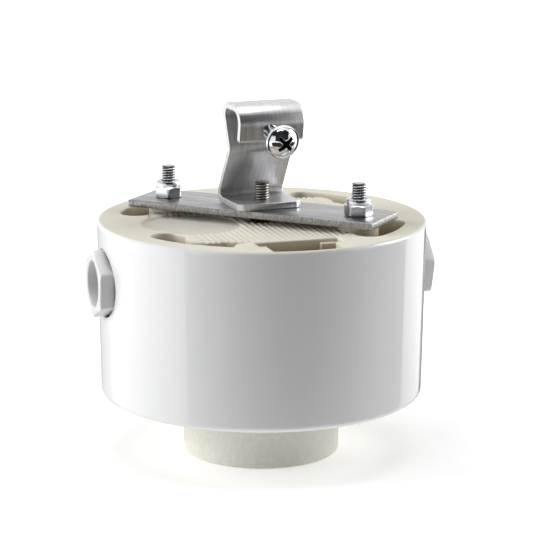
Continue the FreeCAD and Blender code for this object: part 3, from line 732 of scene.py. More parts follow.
def gland_seat(edge, side, sizes):
    """Rings from a window's edge in to a gland's flat seat and down its hole.

    A ring's points lie on rays from the gland's axis; on the wall, x = sqrt(R(z)^2 - y^2).
    """
    away = edge[:, 1:] - [0, GLAND_Z]
    away /= np.linalg.norm(away, axis=1)[:, None]

    def ring(radius, depth=0.0, floor=None, share=0.0):
        at = (away * radius + [0, GLAND_Z]) * (1 - share) + edge[:, 1:] * share
        x = np.full(len(at), floor)
        if floor is None:
            x = np.sqrt(wall_radius(at[:, 1], sizes) ** 2 - at[:, 0] ** 2) - depth
        return np.column_stack([side * x, at])

    rings = [edge] + [ring(SEAT_R + 0.35, share=s) for s in (0.75, 0.5, 0.25, 0.0)]
    rings += [ring(SEAT_R + 0.15, 0.05), ring(SEAT_R + 0.03, 0.16), ring(SEAT_R, 0.3),
              ring(SEAT_R - 0.02, floor=SEAT_X + 0.08), ring(SEAT_R - 0.15, floor=SEAT_X),
              ring(8.4, floor=SEAT_X), ring(8.2, floor=SEAT_X - 0.2), ring(8.2, floor=33.0),
              ring(7.93, floor=33.0)]
    return np.concatenate(rings), grid_faces(len(rings), len(edge))


def body_wall(sizes, steps):
    """The turned surface of the body, with a round seat and hole for each gland worked into its grid."""
    rows = body_rows(sizes)
    points, faces = ringed(rows[:, 0], rows[:, 1], steps)
    grid = points.reshape(len(rows), steps, 3)
    outer = np.flatnonzero(rows[:, 0] > 44.0)
    first, last = [int(outer[np.argmin(abs(rows[outer, 1] - z))]) for z in (WINDOW_LOW, WINDOW_HIGH)]
    reach = int(round(WINDOW_REACH / 360 * steps))
    seats, open_faces = [], set()
    for side, middle in ((1, 0), (-1, steps // 2)):
        loop = window_loop((middle - reach, middle + reach), (first, last))
        seats.append(gland_seat(np.array([grid[r, c % steps] for r, c in loop]), side, sizes))
        open_faces |= {r * steps + c % steps for r in range(first, last)
                       for c in range(middle - reach, middle + reach)}
    faces = [f for i, f in enumerate(faces) if i not in open_faces]
    return joined((points, faces), *seats)


def pocket_end(start, way, closing):
    """Half-round end of a kidney pocket, laid along its middle line from an angle, one way or the other."""
    u = np.linspace(-math.pi / 2, math.pi / 2, 14)[1:-1] * closing
    end = POCKET_END_RUN / POCKET_MIDDLE
    return polar(POCKET_MIDDLE + POCKET_END * np.sin(u), start + way * end * np.cos(u))


def boss_bulge(a, angle, boss_radius):
    """Radius of a pocket's inner wall: the pad's arc, or the boss's circle where that reaches further out.

    The two run into each other through the logarithm of the sum of their exponentials.
    """
    boss_angle = math.radians(np.sign(angle) * (STRAP_TURN if abs(angle) < 90 else 180 - STRAP_TURN))
    off = a - boss_angle
    under = boss_radius ** 2 - (BOLT_CIRCLE * np.sin(off)) ** 2
    reach = np.where(under > 0, BOLT_CIRCLE * np.cos(off) + np.sqrt(np.maximum(under, 0)), 0)
    return np.log(1 + np.exp((reach - PAD_RADIUS) * 4)) / 4 + PAD_RADIUS


def kidney(angle, boss_radius):
    """A kidney pocket's outline: outer arc, half-round ends, inner arc that bulges round a boss."""
    end = POCKET_END_RUN / POCKET_MIDDLE
    start, stop = math.radians(angle - 19.5) + end, math.radians(angle + 19.5) - end
    a = np.linspace(start, stop, 60)
    return np.concatenate([polar(POCKET_OUTER, a), pocket_end(stop, 1, -1),
                           polar(boss_bulge(a[::-1], angle, boss_radius), a[::-1]), pocket_end(start, -1, 1)])


def tailed_kidney(boss_radius):
    """The pocket beside the notch: one half-round end, one square end that runs out in a wedge."""
    start = math.radians(200.5) + POCKET_END_RUN / POCKET_MIDDLE
    outer = polar(POCKET_OUTER, np.linspace(start, math.radians(241.6), 60))
    outer[36:] -= outer[36:] / POCKET_OUTER * 0.45
    square = [(-16.8, -30.9), (-12.4, -29.75), (-12.0, -29.3)]
    b = np.linspace(math.radians(246.5), start, 70)
    return np.concatenate([outer, square, polar(boss_bulge(b - TURN, -140, boss_radius), b),
                           pocket_end(start, -1, 1)])


def notch_outline():
    """Square-backed pocket that narrows towards the rim, where it ends on an arc."""
    wide, narrow, back, shoulder, end = 11.7, 9.5, -29.5, -34.3, 42.8
    a = np.linspace(math.asin(narrow / end), -math.asin(narrow / end), 20)
    arc = np.column_stack([end * np.sin(a), -end * np.cos(a)])
    left = [(-narrow, -36.0), (-narrow, shoulder), (-wide, shoulder), (-wide, back)]
    corners = left + [(-x, y) for x, y in left[::-1]]
    return np.concatenate([softened(corners, [0, 0.3, 0.7, 0.5, 0.5, 0.7, 0.3, 0]), arc])


def step_in(distance, width):
    """0 outside an outline, 1 inside it, with an S-shaped step; distance is how far inside."""
    t = np.clip(distance / width + 0.5, 0, 1)
    return t * t * (3 - 2 * t)


BOSSES = [(20.96, 19.75), (-20.96, -19.75)]


def back_height(x, y, sizes):
    """Level of the back: the rim, less the sunk ribbed middle with its V grooves, less the smooth dish."""
    pad = np.maximum(PAD_RADIUS - np.hypot(x, y), np.minimum(NOTCH_HALF - abs(x), -26.0 - y))
    for bx, by in BOSSES:
        pad = np.maximum(pad, BOSS_RADIUS - np.hypot(x - bx, y - by))
    in_pad = step_in(pad, 0.3)
    dish = step_in(DISH_RADIUS - np.hypot(x - DISH[0], y - DISH[1]), 1.0)
    pitch, depth = sizes.rib_pitch / MM, sizes.rib_depth / MM
    off = abs(x - np.round(x / pitch) * pitch)
    groove = depth * np.clip(1 - off / (GROOVE_SHARE * pitch), 0, 1) * (abs(x) < (RIBS + 0.6) * pitch)
    notch = step_in(np.maximum(y - NOTCH_EDGE, abs(x) - NOTCH_HALF), 0.4)
    ribs = groove * in_pad * (1 - dish) * notch
    return RIM - 0.3 * in_pad * (1 - dish) - 0.9 * dish - ribs


def back_lines(sizes):
    """Lines that the triangles of the back keep: steps round pad, bosses and dish, ribs, edge at the notch."""
    lines = []
    for offset in (0.15, 0.05, -0.05, -0.15):
        lines.append(circle(PAD_RADIUS + offset, 240))
        lines += [circle(BOSS_RADIUS + offset, 60, at) for at in BOSSES]
    for offset in (0.5, 0.25, 0.0, -0.25, -0.5):
        lines.append(circle(DISH_RADIUS + offset, 120, DISH))
    pitch = sizes.rib_pitch / MM
    for k in range(-RIBS, RIBS + 1):
        for x in (k * pitch - GROOVE_SHARE * pitch, k * pitch, k * pitch + GROOVE_SHARE * pitch):
            high = math.sqrt((PAD_RADIUS + 0.15) ** 2 - x ** 2)
            for bx, by in BOSSES:
                if abs(x - bx) < BOSS_RADIUS:
                    high = max(high, abs(by) + math.sqrt(BOSS_RADIUS ** 2 - (x - bx) ** 2) + 0.1)
            lines.append(np.array([(x, -high), (x, high)]))
    return lines + [np.array([(-11.7, NOTCH_EDGE + y), (11.7, NOTCH_EDGE + y)]) for y in (0.2, 0.0, -0.2)]


def pocket_walls(loop, floor, soft, level_at, draft=0.14):
    """Rings down a pocket's wall: a quarter round at the lip, a slight draft, a fillet, and the floor."""
    normal = outward(loop)
    lip = loop + normal * soft
    level = level_at(lip[:, 0], lip[:, 1])
    back = np.sign(level.mean() - floor)
    rings = []
    for a in np.linspace(0, math.pi / 2, 5):
        at = loop + normal * soft * (1 - math.sin(a))
        rings.append(np.column_stack([at, level - back * soft * (1 - math.cos(a))]))
    for inset, rise in ((draft, 0.5), (draft + 0.06, 0.25), (draft + 0.2, 0.08), (draft + 0.4, 0.0)):
        rings.append(np.column_stack([loop - normal * inset, np.full(len(loop), floor + rise * back)]))
    return lip, closed_rings(rings)


def body_back(sizes, steps):
    """The flat back: every outline, rib and step is a line of a triangulation, lifted to the back's level."""
    hollows = [(kidney(40, BOSS_RADIUS), POCKET_FLOOR), (kidney(-40, STUD_BOSS_RADIUS), POCKET_FLOOR),
               (kidney(140, STUD_BOSS_RADIUS), POCKET_FLOOR), (tailed_kidney(BOSS_RADIUS), POCKET_FLOOR),
               (notch_outline(), POCKET_FLOOR), (circle(CENTRE_HOLE, 60), RIM - 3.0)]
    lips, shapes = zip(*[pocket_walls(even(outline, 0.35), floor, sizes.lip_round / MM,
                                      lambda x, y: back_height(x, y, sizes)) for outline, floor in hollows])
    rim = circle(BACK_RADIUS, steps)
    at, triangles = triangulated([rim, *lips, *back_lines(sizes)])
    middles = at[triangles].mean(1)
    keep = inside(middles, rim)
    for lip in lips:
        keep &= ~inside(middles, lip)
    face = np.column_stack([at, back_height(at[:, 0], at[:, 1], sizes)])
    boss = ringed([STUD_BOSS_RADIUS, STUD_BOSS_RADIUS, 5.3, 5.1, 0],
                  [RIM - 4.5, STRAP_UNDER - 0.3, STRAP_UNDER - 0.1, STRAP_UNDER, STRAP_UNDER], 48)
    post = softened([(6.6, -31.2), (11.9, -31.2), (11.9, -29.2), (6.6, -29.2)], 0.4, closed=True)
    post = prism(even(post, 0.3), [(-0.1, RIM - 4.7), (0.0, RIM - 1.7), (0.1, RIM - 1.4), (0.35, RIM - 1.3)])
    return joined(*shapes, (face, triangles[keep].tolist()), moved(boss, bolt_at(-1)), moved(boss, bolt_at(1)),
                  post)


class HOLDER_OT_body(bpy.types.Operator):
    """Porcelain body: turned side, gland seats, and the back with its pockets, notch, ribs and dish"""
    bl_idname = "holder.body"
    bl_label = "Porcelain body"

    def execute(self, context):
        sizes, steps = context.scene.holder_sizes, 240
        shape = joined(body_wall(sizes, steps), body_back(sizes, steps))
        piece("porcelain_body", shape, [porcelain()], ["base_body"], "holder", 38.0)
        return {"FINISHED"}


class HOLDER_OT_neck(bpy.types.Operator):
    """Unglazed neck and the socket's fittings inside it"""
    bl_idname = "holder.neck"
    bl_label = "Neck and inner fittings"

    def execute(self, context):
        finishes = {
            "socket_insert": steatite, "flange_gasket": rubber, "shell_screws": brass, "shell_nut": brass,
            "centre_contact": brass, "contact_clip": spring_steel,
            "live_terminal": brass, "live_screw": brass, "live_clamp_screws": zinc_plate,
            "neutral_terminal": brass, "neutral_clamp_screws": zinc_plate, "bolt_washers": zinc_plate,
            "left_nut_ring": nylon, "right_nut_ring": nylon, "left_cable_seal": rubber,
            "right_cable_seal": rubber,
        }
        for node, maker in finishes.items():
            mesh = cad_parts[node].data
            mesh.materials.clear()
            mesh.materials.append(maker())
        return {"FINISHED"}


class HOLDER_OT_shell(bpy.types.Operator):
    """Brass lamp shell with the rounded lamp thread rolled into its wall"""
    bl_idname = "holder.shell"
    bl_label = "Lamp shell"

    def execute(self, context):
        steps, pitch, low, high = 96, 3.629, 6.3, 26.2
        z = np.linspace(low, high, 90)
        phase = z[:, None] / pitch * TURN - angles(steps)
        fade = np.clip((z - low) / 1.5, 0, 1) * np.clip((high - z) / 1.5, 0, 1)
        inner = 13.28 - 0.52 * (1 - np.cos(phase)) * fade[:, None]
        radius = [13.75, 13.5, 13.3, *inner, 13.7, 13.7, 9.0, 9.0, 14.15, 14.15, *(inner[::-1] + 0.45)]
        height = [6.05, 5.98, 6.05, *z, 26.9, 31.5, 31.5, 31.95, 31.95, 27.0, *z[::-1]]
        piece("lamp_shell", ringed(radius, height, steps, True), [brass()], ["threaded_shell"],
              "holder")
        return {"FINISHED"}


class HOLDER_OT_spring(bpy.types.Operator):
    """Coil behind the centre contact, built at its rest length; the real coil closes up as the contact is
    pushed in.
    """
    bl_idname = "holder.spring"
    bl_label = "Contact spring"

    def execute(self, context):
        low, high = frame_box("contact_spring")
        wire, coil, travel, coils, steps = 0.3, 2.75, 1.8, 4, 40
        angle = np.linspace(0, coils * TURN, coils * steps + 1)
        middle = np.linspace(low[2] + wire, high[2] - wire, len(angle))
        section = angles(12)
        radius = coil + wire * np.cos(section)
        rings = np.stack([np.cos(angle)[:, None] * radius, np.sin(angle)[:, None] * radius,
                          middle[:, None] + wire * np.sin(section)], axis=-1)
        made = piece("contact_coil", closed_rings(rings, 1), [spring_steel()], ["contact_spring"],
                     "holder")
        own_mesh(made)
        return {"FINISHED"}


# ---- strap and hook ----

class HOLDER_OT_strap(bpy.types.Operator):
    """Flat bar with rolled faces and coarse sheared edges"""
    bl_idname = "holder.strap"
    bl_label = "Strap"

    def execute(self, context):
        sizes = context.scene.holder_sizes
        x, y = sizes.strap_length / MM / 2, sizes.strap_width / MM / 2
        outline = even(softened([(-x, -y), (x, -y), (x, y), (-x, y)], 0.3, closed=True), 0.3)
        levels = [(0.35, STRAP_UNDER), (0.12, STRAP_UNDER + 0.08), (0.03, STRAP_UNDER + 0.25),
                  (0.0, STRAP_UNDER + 0.9), (0.0, STRAP_TOP - 0.3), (0.06, STRAP_TOP - 0.08), (0.22, STRAP_TOP)]
        points, faces = prism(outline, levels)
        shape = (turned_about(points, math.radians(-STRAP_TURN)), faces)
        piece("strap", shape, [rolled_strap(), sheared_steel()], ["strap_bar"], "holder", 50.0,
              lambda at, normal: abs(normal[:, 2]) < 0.6)
        return {"FINISHED"}


def carried(line, half_width, thick, rounds):
    """A strip carried along a line in the YZ plane.

    Each ring is a rounded rectangle, its width along X and its thickness along the line's normal; the rings at
    both ends shrink to round the strip's ends.
    """
    tangent = np.gradient(line, axis=0)
    tangent /= np.linalg.norm(tangent, axis=1)[:, None]
    normal = np.column_stack([-tangent[:, 1], tangent[:, 0]])
    a = np.linspace(0, math.pi / 2, 4)
    corner = np.column_stack([1 - np.cos(a), 1 - np.sin(a)]) * rounds
    section = np.array([(sx, sy, cx, cy) for sx, sy, order in ((1, 1, 1), (-1, 1, -1), (-1, -1, 1), (1, -1, -1))
                        for cx, cy in corner[::order]])
    run = run_of(line)
    rings = []
    for at, out, here_run in zip(line, normal, run):
        shrink = max(0.25 - here_run, 0.25 - (run[-1] - here_run), 0.0)
        across = section[:, 0] * (half_width(here_run) - section[:, 2] - shrink * 0.8)
        up = section[:, 1] * (thick / 2 - section[:, 3] - shrink * 0.5)
        rings.append(np.column_stack([across, at[0] + out[0] * up, at[1] + out[1] * up]))
    return closed_rings(rings, 1)


def hook_line(thick):
    """The strip's middle line: flange, back that kinks forward and back, rounded crown and leaning lip."""
    lean = math.tan(LIP_TILT)
    flange, crown, tip = FLANGE_TOP - thick / 2, RIM + 31.95 - thick / 2, RIM + 22.2
    _, lip, hole = LIP_HOLE
    corners = [(-6.5, flange), (9.95, flange), (1.12, RIM + 19.4), (5.85, crown),
               (lip - lean * (crown - hole), crown), (lip + lean * (hole - tip), tip)]
    line = softened(corners, [0, 2.0, 2.6, 2.4, 4.0, 0], 10)
    run = run_of(line)
    whole = run[-1]
    ends = [0.12, 0.25, 1.5, whole - 0.12, whole - 0.25]
    return walked(line, np.unique([*run, *np.linspace(0, whole, 70), *ends]))


class HOLDER_OT_hook(bpy.types.Operator):
    """Bent strip: rolled faces, bright cut edges, flange with its front corners taken off"""
    bl_idname = "holder.hook"
    bl_label = "Wire hook"

    def execute(self, context):
        sizes = context.scene.holder_sizes
        half, thick = sizes.hook_width / MM / 2, sizes.hook_thick / MM
        points, faces = carried(hook_line(thick), lambda run: half - max(1.5 - run, 0.0), thick, 0.22)
        away = np.array([math.cos(HOOK_YAW), math.sin(HOOK_YAW), 0])
        piece("wire_hook", (turned_about(points, HOOK_YAW), faces), [rolled_hook(), hook_edge()],
              ["hook_bracket"], "hook", 40.0,
              lambda at, normal: abs(normal @ away) > 0.6)
        return {"FINISHED"}


# ---- screws, bolts and nuts ----

def thread_rows(low, high, steps, tip=0.5):
    """Rows of an M4 thread: radius follows a rounded wave of z / pitch - angle, cut by the tip's cone."""
    z = np.linspace(low, high, max(int((high - low) / M4_PITCH * 9), 4))
    phase = (z[:, None] / M4_PITCH - angles(steps) / TURN) % 1.0
    wave = np.clip(0.62 - 0.62 * np.cos(TURN * phase), 0, 1)
    radius = M4_ROOT + (M4_CREST - M4_ROOT) * wave
    cone = M4_CREST - np.clip(z - (high - tip), 0, None)[:, None] * 0.9
    return [*np.minimum(radius, cone)], [*z]


def hexagon_radius(flats, angle, turn, soft=0.12):
    """Distance from the centre to a hexagon's side at an angle, with eased corners.

    It is half the flats / cos(angle off the flat), held softly below half the width across the corners.
    """
    off = (angle - turn) % (TURN / 6) - TURN / 12
    sharp = flats / 2 / np.cos(off)
    most = flats / math.sqrt(3) - soft
    return sharp - np.log1p(np.exp((sharp - most) / (soft * 0.5))) * soft * 0.5


def thread_roots(axis, low):
    """Picks the faces of a thread that lie near its roots, so that they can carry painted shade, darker than
    the crests.
    """
    def pick(at, normal):
        radius = np.hypot(at[:, 0] - axis[0], at[:, 1] - axis[1])
        return (radius < M4_SHADE) & (abs(normal[:, 2]) < 0.95) & (at[:, 2] > low)
    return pick


def bolt_shape(side):
    """Hexagon bolt head below the flange, plain shank through the body, threaded end above the strap."""
    steps, seat = 48, BOLT_SEAT
    hexed = hexagon_radius(7.0, angles(steps), 0.0)
    corner = np.clip(hexed - 3.35, 0, None) * 0.55
    rows, heights = thread_rows(RIM + 4, BOLT_END, steps)
    radius = [0.0, 2.9, 3.3, hexed, hexed, 2.0, 2.0, 2.0, 1.95, *rows, 0.0]
    height = [seat - 2.5, seat - 2.5, seat - 2.8, seat - 2.75 + corner, seat, seat, seat + 0.3, RIM - 4,
              RIM + 3.9, *heights, BOLT_END]
    return moved(ringed(radius, height, steps), bolt_at(side))


def nut_shape(side, turn, flats):
    """Lock nut: chamfered hexagon, a waist, then the round collar rolled in over its ring."""
    steps, foot, top = 96, STRAP_TOP + 0.02, STRAP_TOP + 3.0
    hexed = hexagon_radius(flats, angles(steps), turn)
    corner = np.clip(hexed - 3.42, 0, None) * 0.6
    radius = [2.05, 3.3, hexed, hexed, 3.42, 3.34, 3.34, 3.3, 3.12, 2.85, 2.55, 2.35, 2.25, 2.05]
    height = [foot, foot, foot + 0.03 + corner, top - corner - 0.05, top, top + 0.06, top + 0.95, top + 1.2,
              top + 1.5, top + 1.66, top + 1.7, top + 1.62, top + 1.45, top + 1.3]
    return moved(ringed(radius, height, steps, True), bolt_at(side))


class HOLDER_OT_bolts(bpy.types.Operator):
    """Long bolts, lock nuts and centre screw, with cut threads"""
    bl_idname = "holder.bolts"
    bl_label = "Bolts and nuts"

    def execute(self, context):
        flats = context.scene.holder_sizes.nut_flats / MM
        for side, word, turn in ((-1, "left", -46), (1, "right", -25)):
            piece(f"{word}_bolt", bolt_shape(side), [zinc_plate(), thread_shade()], [f"{word}_long_bolt"],
                  "holder", 55.0, thread_roots(bolt_at(side), RIM + 4))
            piece(f"{word}_nut", nut_shape(side, math.radians(turn), flats), [zinc_plate()],
                  [f"{word}_lock_nut"], "holder", 24.0)
        steps, under, start = 48, STRAP_UNDER, FLANGE_TOP - 0.6
        rows, heights = thread_rows(start, CENTRE_END, steps, 0.35)
        radius = [0.0, 2.6, 3.7, 3.9, 3.8, 2.0, 2.0, *rows, 0.0]
        height = [under - 2.2, under - 2.2, under - 1.4, under - 0.2, under - 0.02, under - 0.02, start - 0.1,
                  *heights, CENTRE_END]
        piece("hook_screw", ringed(radius, height, steps), [stainless(), thread_shade()],
              ["centre_screw"], "hook", 55.0, thread_roots((0, 0), start))
        return {"FINISHED"}


def cross_outline():
    """A cross of two bars at right angles, its arms at 45 degrees, corners eased."""
    half, reach = 0.55, 2.5
    arm = np.array([(reach, -half * 0.8), (reach, half * 0.8), (half, half)])
    corners = []
    for k in range(4):
        c, s = math.cos((k + 0.5) * math.pi / 2), math.sin((k + 0.5) * math.pi / 2)
        corners += [(x * c - y * s, x * s + y * c) for x, y in arm]
    return even(softened(corners, [0.2, 0.2, 0.25] * 4, closed=True), 0.09)


def dome_fall(radius):
    """How far the clamp screw's face falls back at a radius: a ball's cap, FACE_FALL deep at its edge."""
    def cap(r):
        return 1 - np.sqrt(np.clip(1 - (r / HEAD_RADIUS) ** 2, 0, 1))
    return FACE_FALL * cap(radius) / cap(FACE_RADIUS)


def screw_face(steps):
    """The head's domed face, with the cross cut into it."""
    def dome(x, y):
        return HEAD_FRONT + dome_fall(np.hypot(x, y))
    lip, walls = pocket_walls(cross_outline(), HEAD_FRONT + 1.9, 0.07, dome, 0.2)
    rings = [circle(FACE_RADIUS, steps)] + [circle(r, 72) for r in (3.55, 3.3, 3.1, 2.9)]
    at, triangles = triangulated([*rings, lip], [circle(r, 48) for r in (2.2, 1.8, 1.4)])
    keep = ~inside(at[triangles].mean(1), lip)
    return joined((np.column_stack([at, dome(at[:, 0], at[:, 1])]), triangles[keep].tolist()), walls)


class HOLDER_OT_clamp(bpy.types.Operator):
    """Clamp screw: domed pan head with a cross recess, round collar and threaded shank"""
    bl_idname = "holder.clamp"
    bl_label = "Clamp screw"

    def execute(self, context):
        steps, edge, back = 96, HEAD_FRONT + FACE_FALL, HEAD_FRONT + 3.1
        rows, heights = thread_rows(back + 0.35, back + 12.0, steps)
        radius = [FACE_RADIUS, 3.9, 3.95, 4.0, 4.2, 4.5, HEAD_RADIUS, HEAD_RADIUS, 4.5, 2.4, 2.1, 2.0,
                  *rows, 0.0]
        height = [edge, edge + 0.2, edge + 0.33, edge + 0.39, edge + 0.41, edge + 0.47, edge + 0.65,
                  back - 0.15, back, back, back + 0.1, back + 0.3, *heights, back + 12.0]
        points, faces = joined(screw_face(steps), ringed(radius, height, steps))
        foot, above = along_clamp(np.array([[0, 0, HEAD_FRONT], [0, 0, HEAD_FRONT + 1.0]]))

        def finish_of(at, normal):
            """0 for plated faces, 1 for the painted shade in the cross, 2 for the painted shade near the
            thread's roots.
            """
            run = (at - foot) @ (above - foot)
            off = np.linalg.norm(at - foot - run[:, None] * (above - foot), axis=1)
            recess = (run - dome_fall(off) > 0.12) & (off < 2.9) & (run < 2.1)
            return np.where((run > 3.3) & (off < M4_SHADE + 0.02), 2, recess.astype(int))

        piece("wire_clamp_screw", (along_clamp(points), faces),
              [bright_plate(), recess_painted_shade(), thread_shade()], ["clamp_screw"], "clamp",
              32.0, finish_of)
        return {"FINISHED"}


# ---- cable glands ----

class HOLDER_OT_glands(bpy.types.Operator):
    """Cable glands: moulded hexagons with eased edges and an open bore, on thin seals"""
    bl_idname = "holder.glands"
    bl_label = "Cable glands"

    def execute(self, context):
        sizes = context.scene.holder_sizes
        flats, bore = sizes.gland_flats / MM, sizes.gland_bore / MM
        steps, seat, face, step = 144, SEAT_X + 0.4, GLAND_FACE, 37.5
        for side, word, turn in ((-1, "left", 55.4), (1, "right", 15.8)):
            hexed = hexagon_radius(flats, angles(steps), math.radians(turn), 0.14)
            edge = face - np.clip(hexed - flats / 2 - 0.6, 0, None) * 0.25
            head = [(bore, step), (bore, face - 0.4), (bore + 0.08, face - 0.2), (bore + 0.25, face - 0.06),
                    (bore + 0.45, face), (flats / 2 - 0.55, face), (hexed - 0.4, edge - 0.05),
                    (hexed - 0.12, edge - 0.2), (hexed, edge - 0.45), (hexed, seat + 0.3),
                    (hexed - 0.08, seat + 0.08), (hexed - 0.3, seat)]
            shaft = [(8.1, seat), (7.9, seat - 0.2), (7.9, 31.9), (7.55, 31.55), (7.0, 31.5), (7.0, step),
                     (bore, step)]
            radius, height = zip(*head, *shaft)
            points, faces = ringed(radius, height, steps, True)
            piece(f"{word}_cable_gland", (along_gland(points, side), faces), [gland_plastic()],
                  [f"{word}_gland"], f"{word}_gland", 32.0)
            points, faces = ringed([8.0, 8.7, 8.8, 8.8, 8.7, 8.0],
                                   [SEAT_X, SEAT_X, SEAT_X + 0.1, seat - 0.1, seat, seat], 96, True)
            piece(f"{word}_seal", (along_gland(points, side), faces), [rubber()], [f"{word}_gland_seal"],
                  "holder")
        return {"FINISHED"}


# ---- floor, light and camera ----

def lamp(name, at, aim, size, power):
    """A soft rectangular lamp at a point, turned to face another."""
    data = bpy.data.lights.new(name, "AREA")
    data.shape = "RECTANGLE"
    data.size, data.size_y = size
    data.energy = power
    made = bpy.data.objects.new(name, data)
    made.location = at
    made.rotation_euler = (Vector(aim) - Vector(at)).to_track_quat("-Z", "Y").to_euler()
    bpy.context.scene.collection.objects.link(made)
    return made


def seen_ray(tree):
    """1 for camera, mirror and glass rays, 0 for all others."""
    path = tree.nodes.new("ShaderNodeLightPath").outputs
    return maths(tree, "MAXIMUM", path["Is Camera Ray"], maths(tree, "MAXIMUM", path["Is Glossy Ray"],
                                                               path["Is Transmission Ray"]))


def around(azimuth, elevation, distance):
    """A point round the holder, in degrees to the right of the camera's side and degrees above the floor."""
    a, e = math.radians(azimuth), math.radians(elevation)
    x, y = math.sin(a) * math.cos(e), -math.cos(a) * math.cos(e)
    return (distance * (CAMERA_COS * x + CAMERA_SIN * y), distance * (CAMERA_COS * y - CAMERA_SIN * x),
            MIDDLE[2] + distance * math.sin(e))


def dark_card(name, points, faces, shade=0.04):
    """A dark studio card that only mirror-like surfaces see, so that glaze and bright metal show something."""
    mesh = bpy.data.meshes.new(name)
    mesh.from_pydata(np.asarray(points).tolist(), [], faces)
    made = bpy.data.objects.new(name, mesh)
    bpy.context.scene.collection.objects.link(made)
    material, tree, shader = finish("Dark card", Roughness=1.0, Specular_IOR_Level=0.0)
    feed(shader, Base_Color=mixed(tree, noise(tree, 2.0, 2.0), [0.75 * shade] * 3, [1.25 * shade] * 3))
    mesh.materials.append(material)
    made.visible_camera = made.visible_diffuse = made.visible_shadow = made.visible_transmission = False
    return made


def standing_card(name, at, aim, half_wide, half_high):
    """A card at a point, facing another."""
    corners = np.array([(-half_wide, -half_high, 0), (half_wide, -half_high, 0), (half_wide, half_high, 0),
                        (-half_wide, half_high, 0)])
    face = (Vector(aim) - Vector(at)).to_track_quat("Z", "Y").to_matrix()
    return dark_card(name, corners @ np.array(face).T + at, [(0, 1, 2, 3)])


def table_card(name, start, end, shade=0.04):
    """A card on the table that fills what the round wall mirrors between two of its own angles."""
    rows = []
    for at in np.linspace(start, end, 25):
        foot = np.array(around(at, 0, 0.047))
        away = np.array(around(2 * at, 0, 1.0)) - MIDDLE
        rows += [foot + away * 0.012, foot + away * 0.45]
    points = np.array(rows)
    points[:, 2] = 0.001
    faces = [(k, k + 2, k + 3, k + 1) for k in range(0, len(points) - 2, 2)]
    return dark_card(name, points, faces, shade)


def pale_floor():
    """A matt pale floor that takes the shadow near the holder and turns plain white further out."""
    material, tree, shader = finish("Pale floor", Roughness=0.9, Emission_Strength=1.0)
    distance = add(tree, "ShaderNodeVectorMath", {0: here(tree)}, operation="LENGTH").outputs["Value"]
    seen = seen_ray(tree)
    near = maths(tree, "MULTIPLY", seen, ramp(tree, distance, 0.06, 0.4, 0.35, 1.0))
    unseen = maths(tree, "SUBTRACT", 1.0, seen)
    glow = maths(tree, "MULTIPLY", unseen, ramp(tree, distance, 0.05, 0.12, 0.2, 0.0))
    feed(shader, Base_Color=mixed(tree, noise(tree, 3.0, 2.0), (0.9, 0.9, 0.9), (0.88, 0.88, 0.88)),
         Emission_Color=mixed(tree, maths(tree, "ADD", near, glow), (0, 0, 0), (1, 1, 1)))
    return material


class HOLDER_OT_stage(bpy.types.Operator):
    """Pale floor, soft lights, white surround and the camera"""
    bl_idname = "holder.stage"
    bl_label = "Stage"

    def execute(self, context):
        scene = context.scene
        floor_mesh = bpy.data.meshes.new("floor")
        half = 1.5
        floor_mesh.from_pydata([(-half, -half, 0), (half, -half, 0), (half, half, 0), (-half, half, 0)],
                               [], [(0, 1, 2, 3)])
        floor = bpy.data.objects.new("floor", floor_mesh)
        scene.collection.objects.link(floor)
        floor_mesh.materials.append(pale_floor())

        world = bpy.data.worlds.new("Surround")
        world.use_nodes = True
        scene.world = world
        tree = world.node_tree
        seen = seen_ray(tree)
        ground = tree.nodes["Background"]
        tree.links.new(mixed(tree, seen, (0.95, 0.97, 1.0), (1.0, 1.0, 1.0)), ground.inputs["Color"])
        tree.links.new(ramp(tree, seen, 0.0, 1.0, 0.04, 1.0), ground.inputs["Strength"])

        lamps = [
            lamp("Left light", around(-84, 20, 0.85), MIDDLE, (0.45, 0.6), 6.5),
            lamp("Right light", around(106, 20, 0.85), MIDDLE, (0.4, 0.6), 4.6),
            lamp("Top light", around(0, 88, 0.9), MIDDLE, (0.6, 0.6), 3.5),
        ]
        cards = [standing_card("front_card", around(17, 16, 0.95), MIDDLE, 0.85, 0.6),
                 standing_card("ceiling_card", around(5, 58, 0.95), MIDDLE, 1.2, 0.36),
                 table_card("table_card", -27, 60), table_card("edge_card", 79, 86),
                 table_card("left_card", -88, -68, 0.6)]
        lamps[0].visible_glossy = False
        camera = bpy.data.objects.new("Camera", bpy.data.cameras.new("Camera"))
        scene.collection.objects.link(camera)
        scene.camera = camera
        camera.data.lens = 162.17
        camera.data.sensor_width = 36.0
        camera.data.clip_start = 0.05
        place_camera(camera)
        scene.view_settings.view_transform = "Standard"
        return {"FINISHED"}


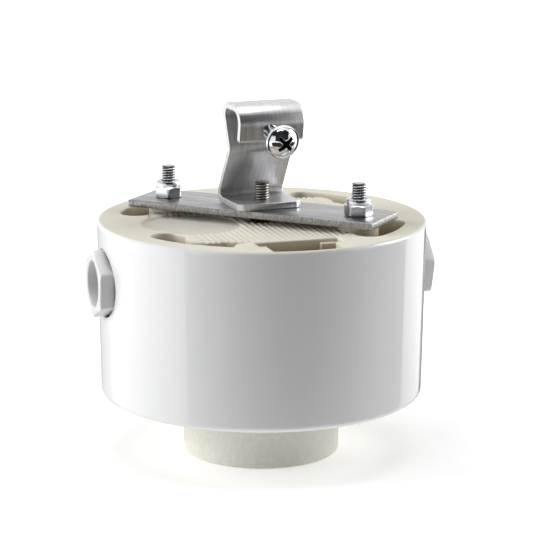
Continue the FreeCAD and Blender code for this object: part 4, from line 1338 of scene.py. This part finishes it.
def place_camera(camera):
    """The camera looks 12.86 degrees down at the holder from the front, a little to its left."""
    across = Matrix(((CAMERA_COS, CAMERA_SIN, 0), (-CAMERA_SIN, CAMERA_COS, 0), (0, 0, 1)))
    rise, roll = math.radians(12.859), math.radians(0.226)
    back = Vector((0, -math.cos(rise), math.sin(rise)))
    right = Vector((1, 0, 0))
    up = Vector((0, math.sin(rise), math.cos(rise)))
    tilted_right = right * math.cos(roll) + up * math.sin(roll)
    tilted_up = up * math.cos(roll) - right * math.sin(roll)
    aim, distance = Vector((2.3, 0, 50.44)), 668.0
    at = across @ (aim + back * distance) * MM
    axes = Matrix((across @ tilted_right, across @ tilted_up, across @ back)).transposed()
    camera.matrix_world = Matrix.Translation(at) @ axes.to_4x4()


class HOLDER_PT_panel(bpy.types.Panel):
    """Sizes, colours and the steps that build the lamp holder"""
    bl_idname = "HOLDER_PT_panel"
    bl_label = "Lamp holder"
    bl_space_type = "VIEW_3D"
    bl_region_type = "UI"
    bl_category = "Lamp holder"

    def draw(self, context):
        layout = self.layout
        for group in (context.scene.holder_sizes, context.scene.holder_colours):
            box = layout.box()
            for name in group.__annotations__:
                box.prop(group, name)
        for operator in OPERATORS:
            layout.operator(operator.bl_idname)


OPERATORS = (HOLDER_OT_body, HOLDER_OT_neck, HOLDER_OT_shell, HOLDER_OT_spring, HOLDER_OT_strap, HOLDER_OT_hook,
             HOLDER_OT_bolts, HOLDER_OT_clamp, HOLDER_OT_glands, HOLDER_OT_stage)
CLASSES = (HolderSizes, HolderColours) + OPERATORS + (HOLDER_PT_panel,)


def register():
    for item in CLASSES:
        bpy.utils.register_class(item)
    bpy.types.Scene.holder_sizes = PointerProperty(type=HolderSizes)
    bpy.types.Scene.holder_colours = PointerProperty(type=HolderColours)


def unregister():
    del bpy.types.Scene.holder_sizes
    del bpy.types.Scene.holder_colours
    for item in reversed(CLASSES):
        bpy.utils.unregister_class(item)


def main():
    register()
    bpy.ops.holder.body()
    bpy.ops.holder.neck()
    bpy.ops.holder.shell()
    bpy.ops.holder.spring()
    bpy.ops.holder.strap()
    bpy.ops.holder.hook()
    bpy.ops.holder.bolts()
    bpy.ops.holder.clamp()
    bpy.ops.holder.glands()
    bpy.ops.holder.stage()


if __name__ == "__main__":
    main()
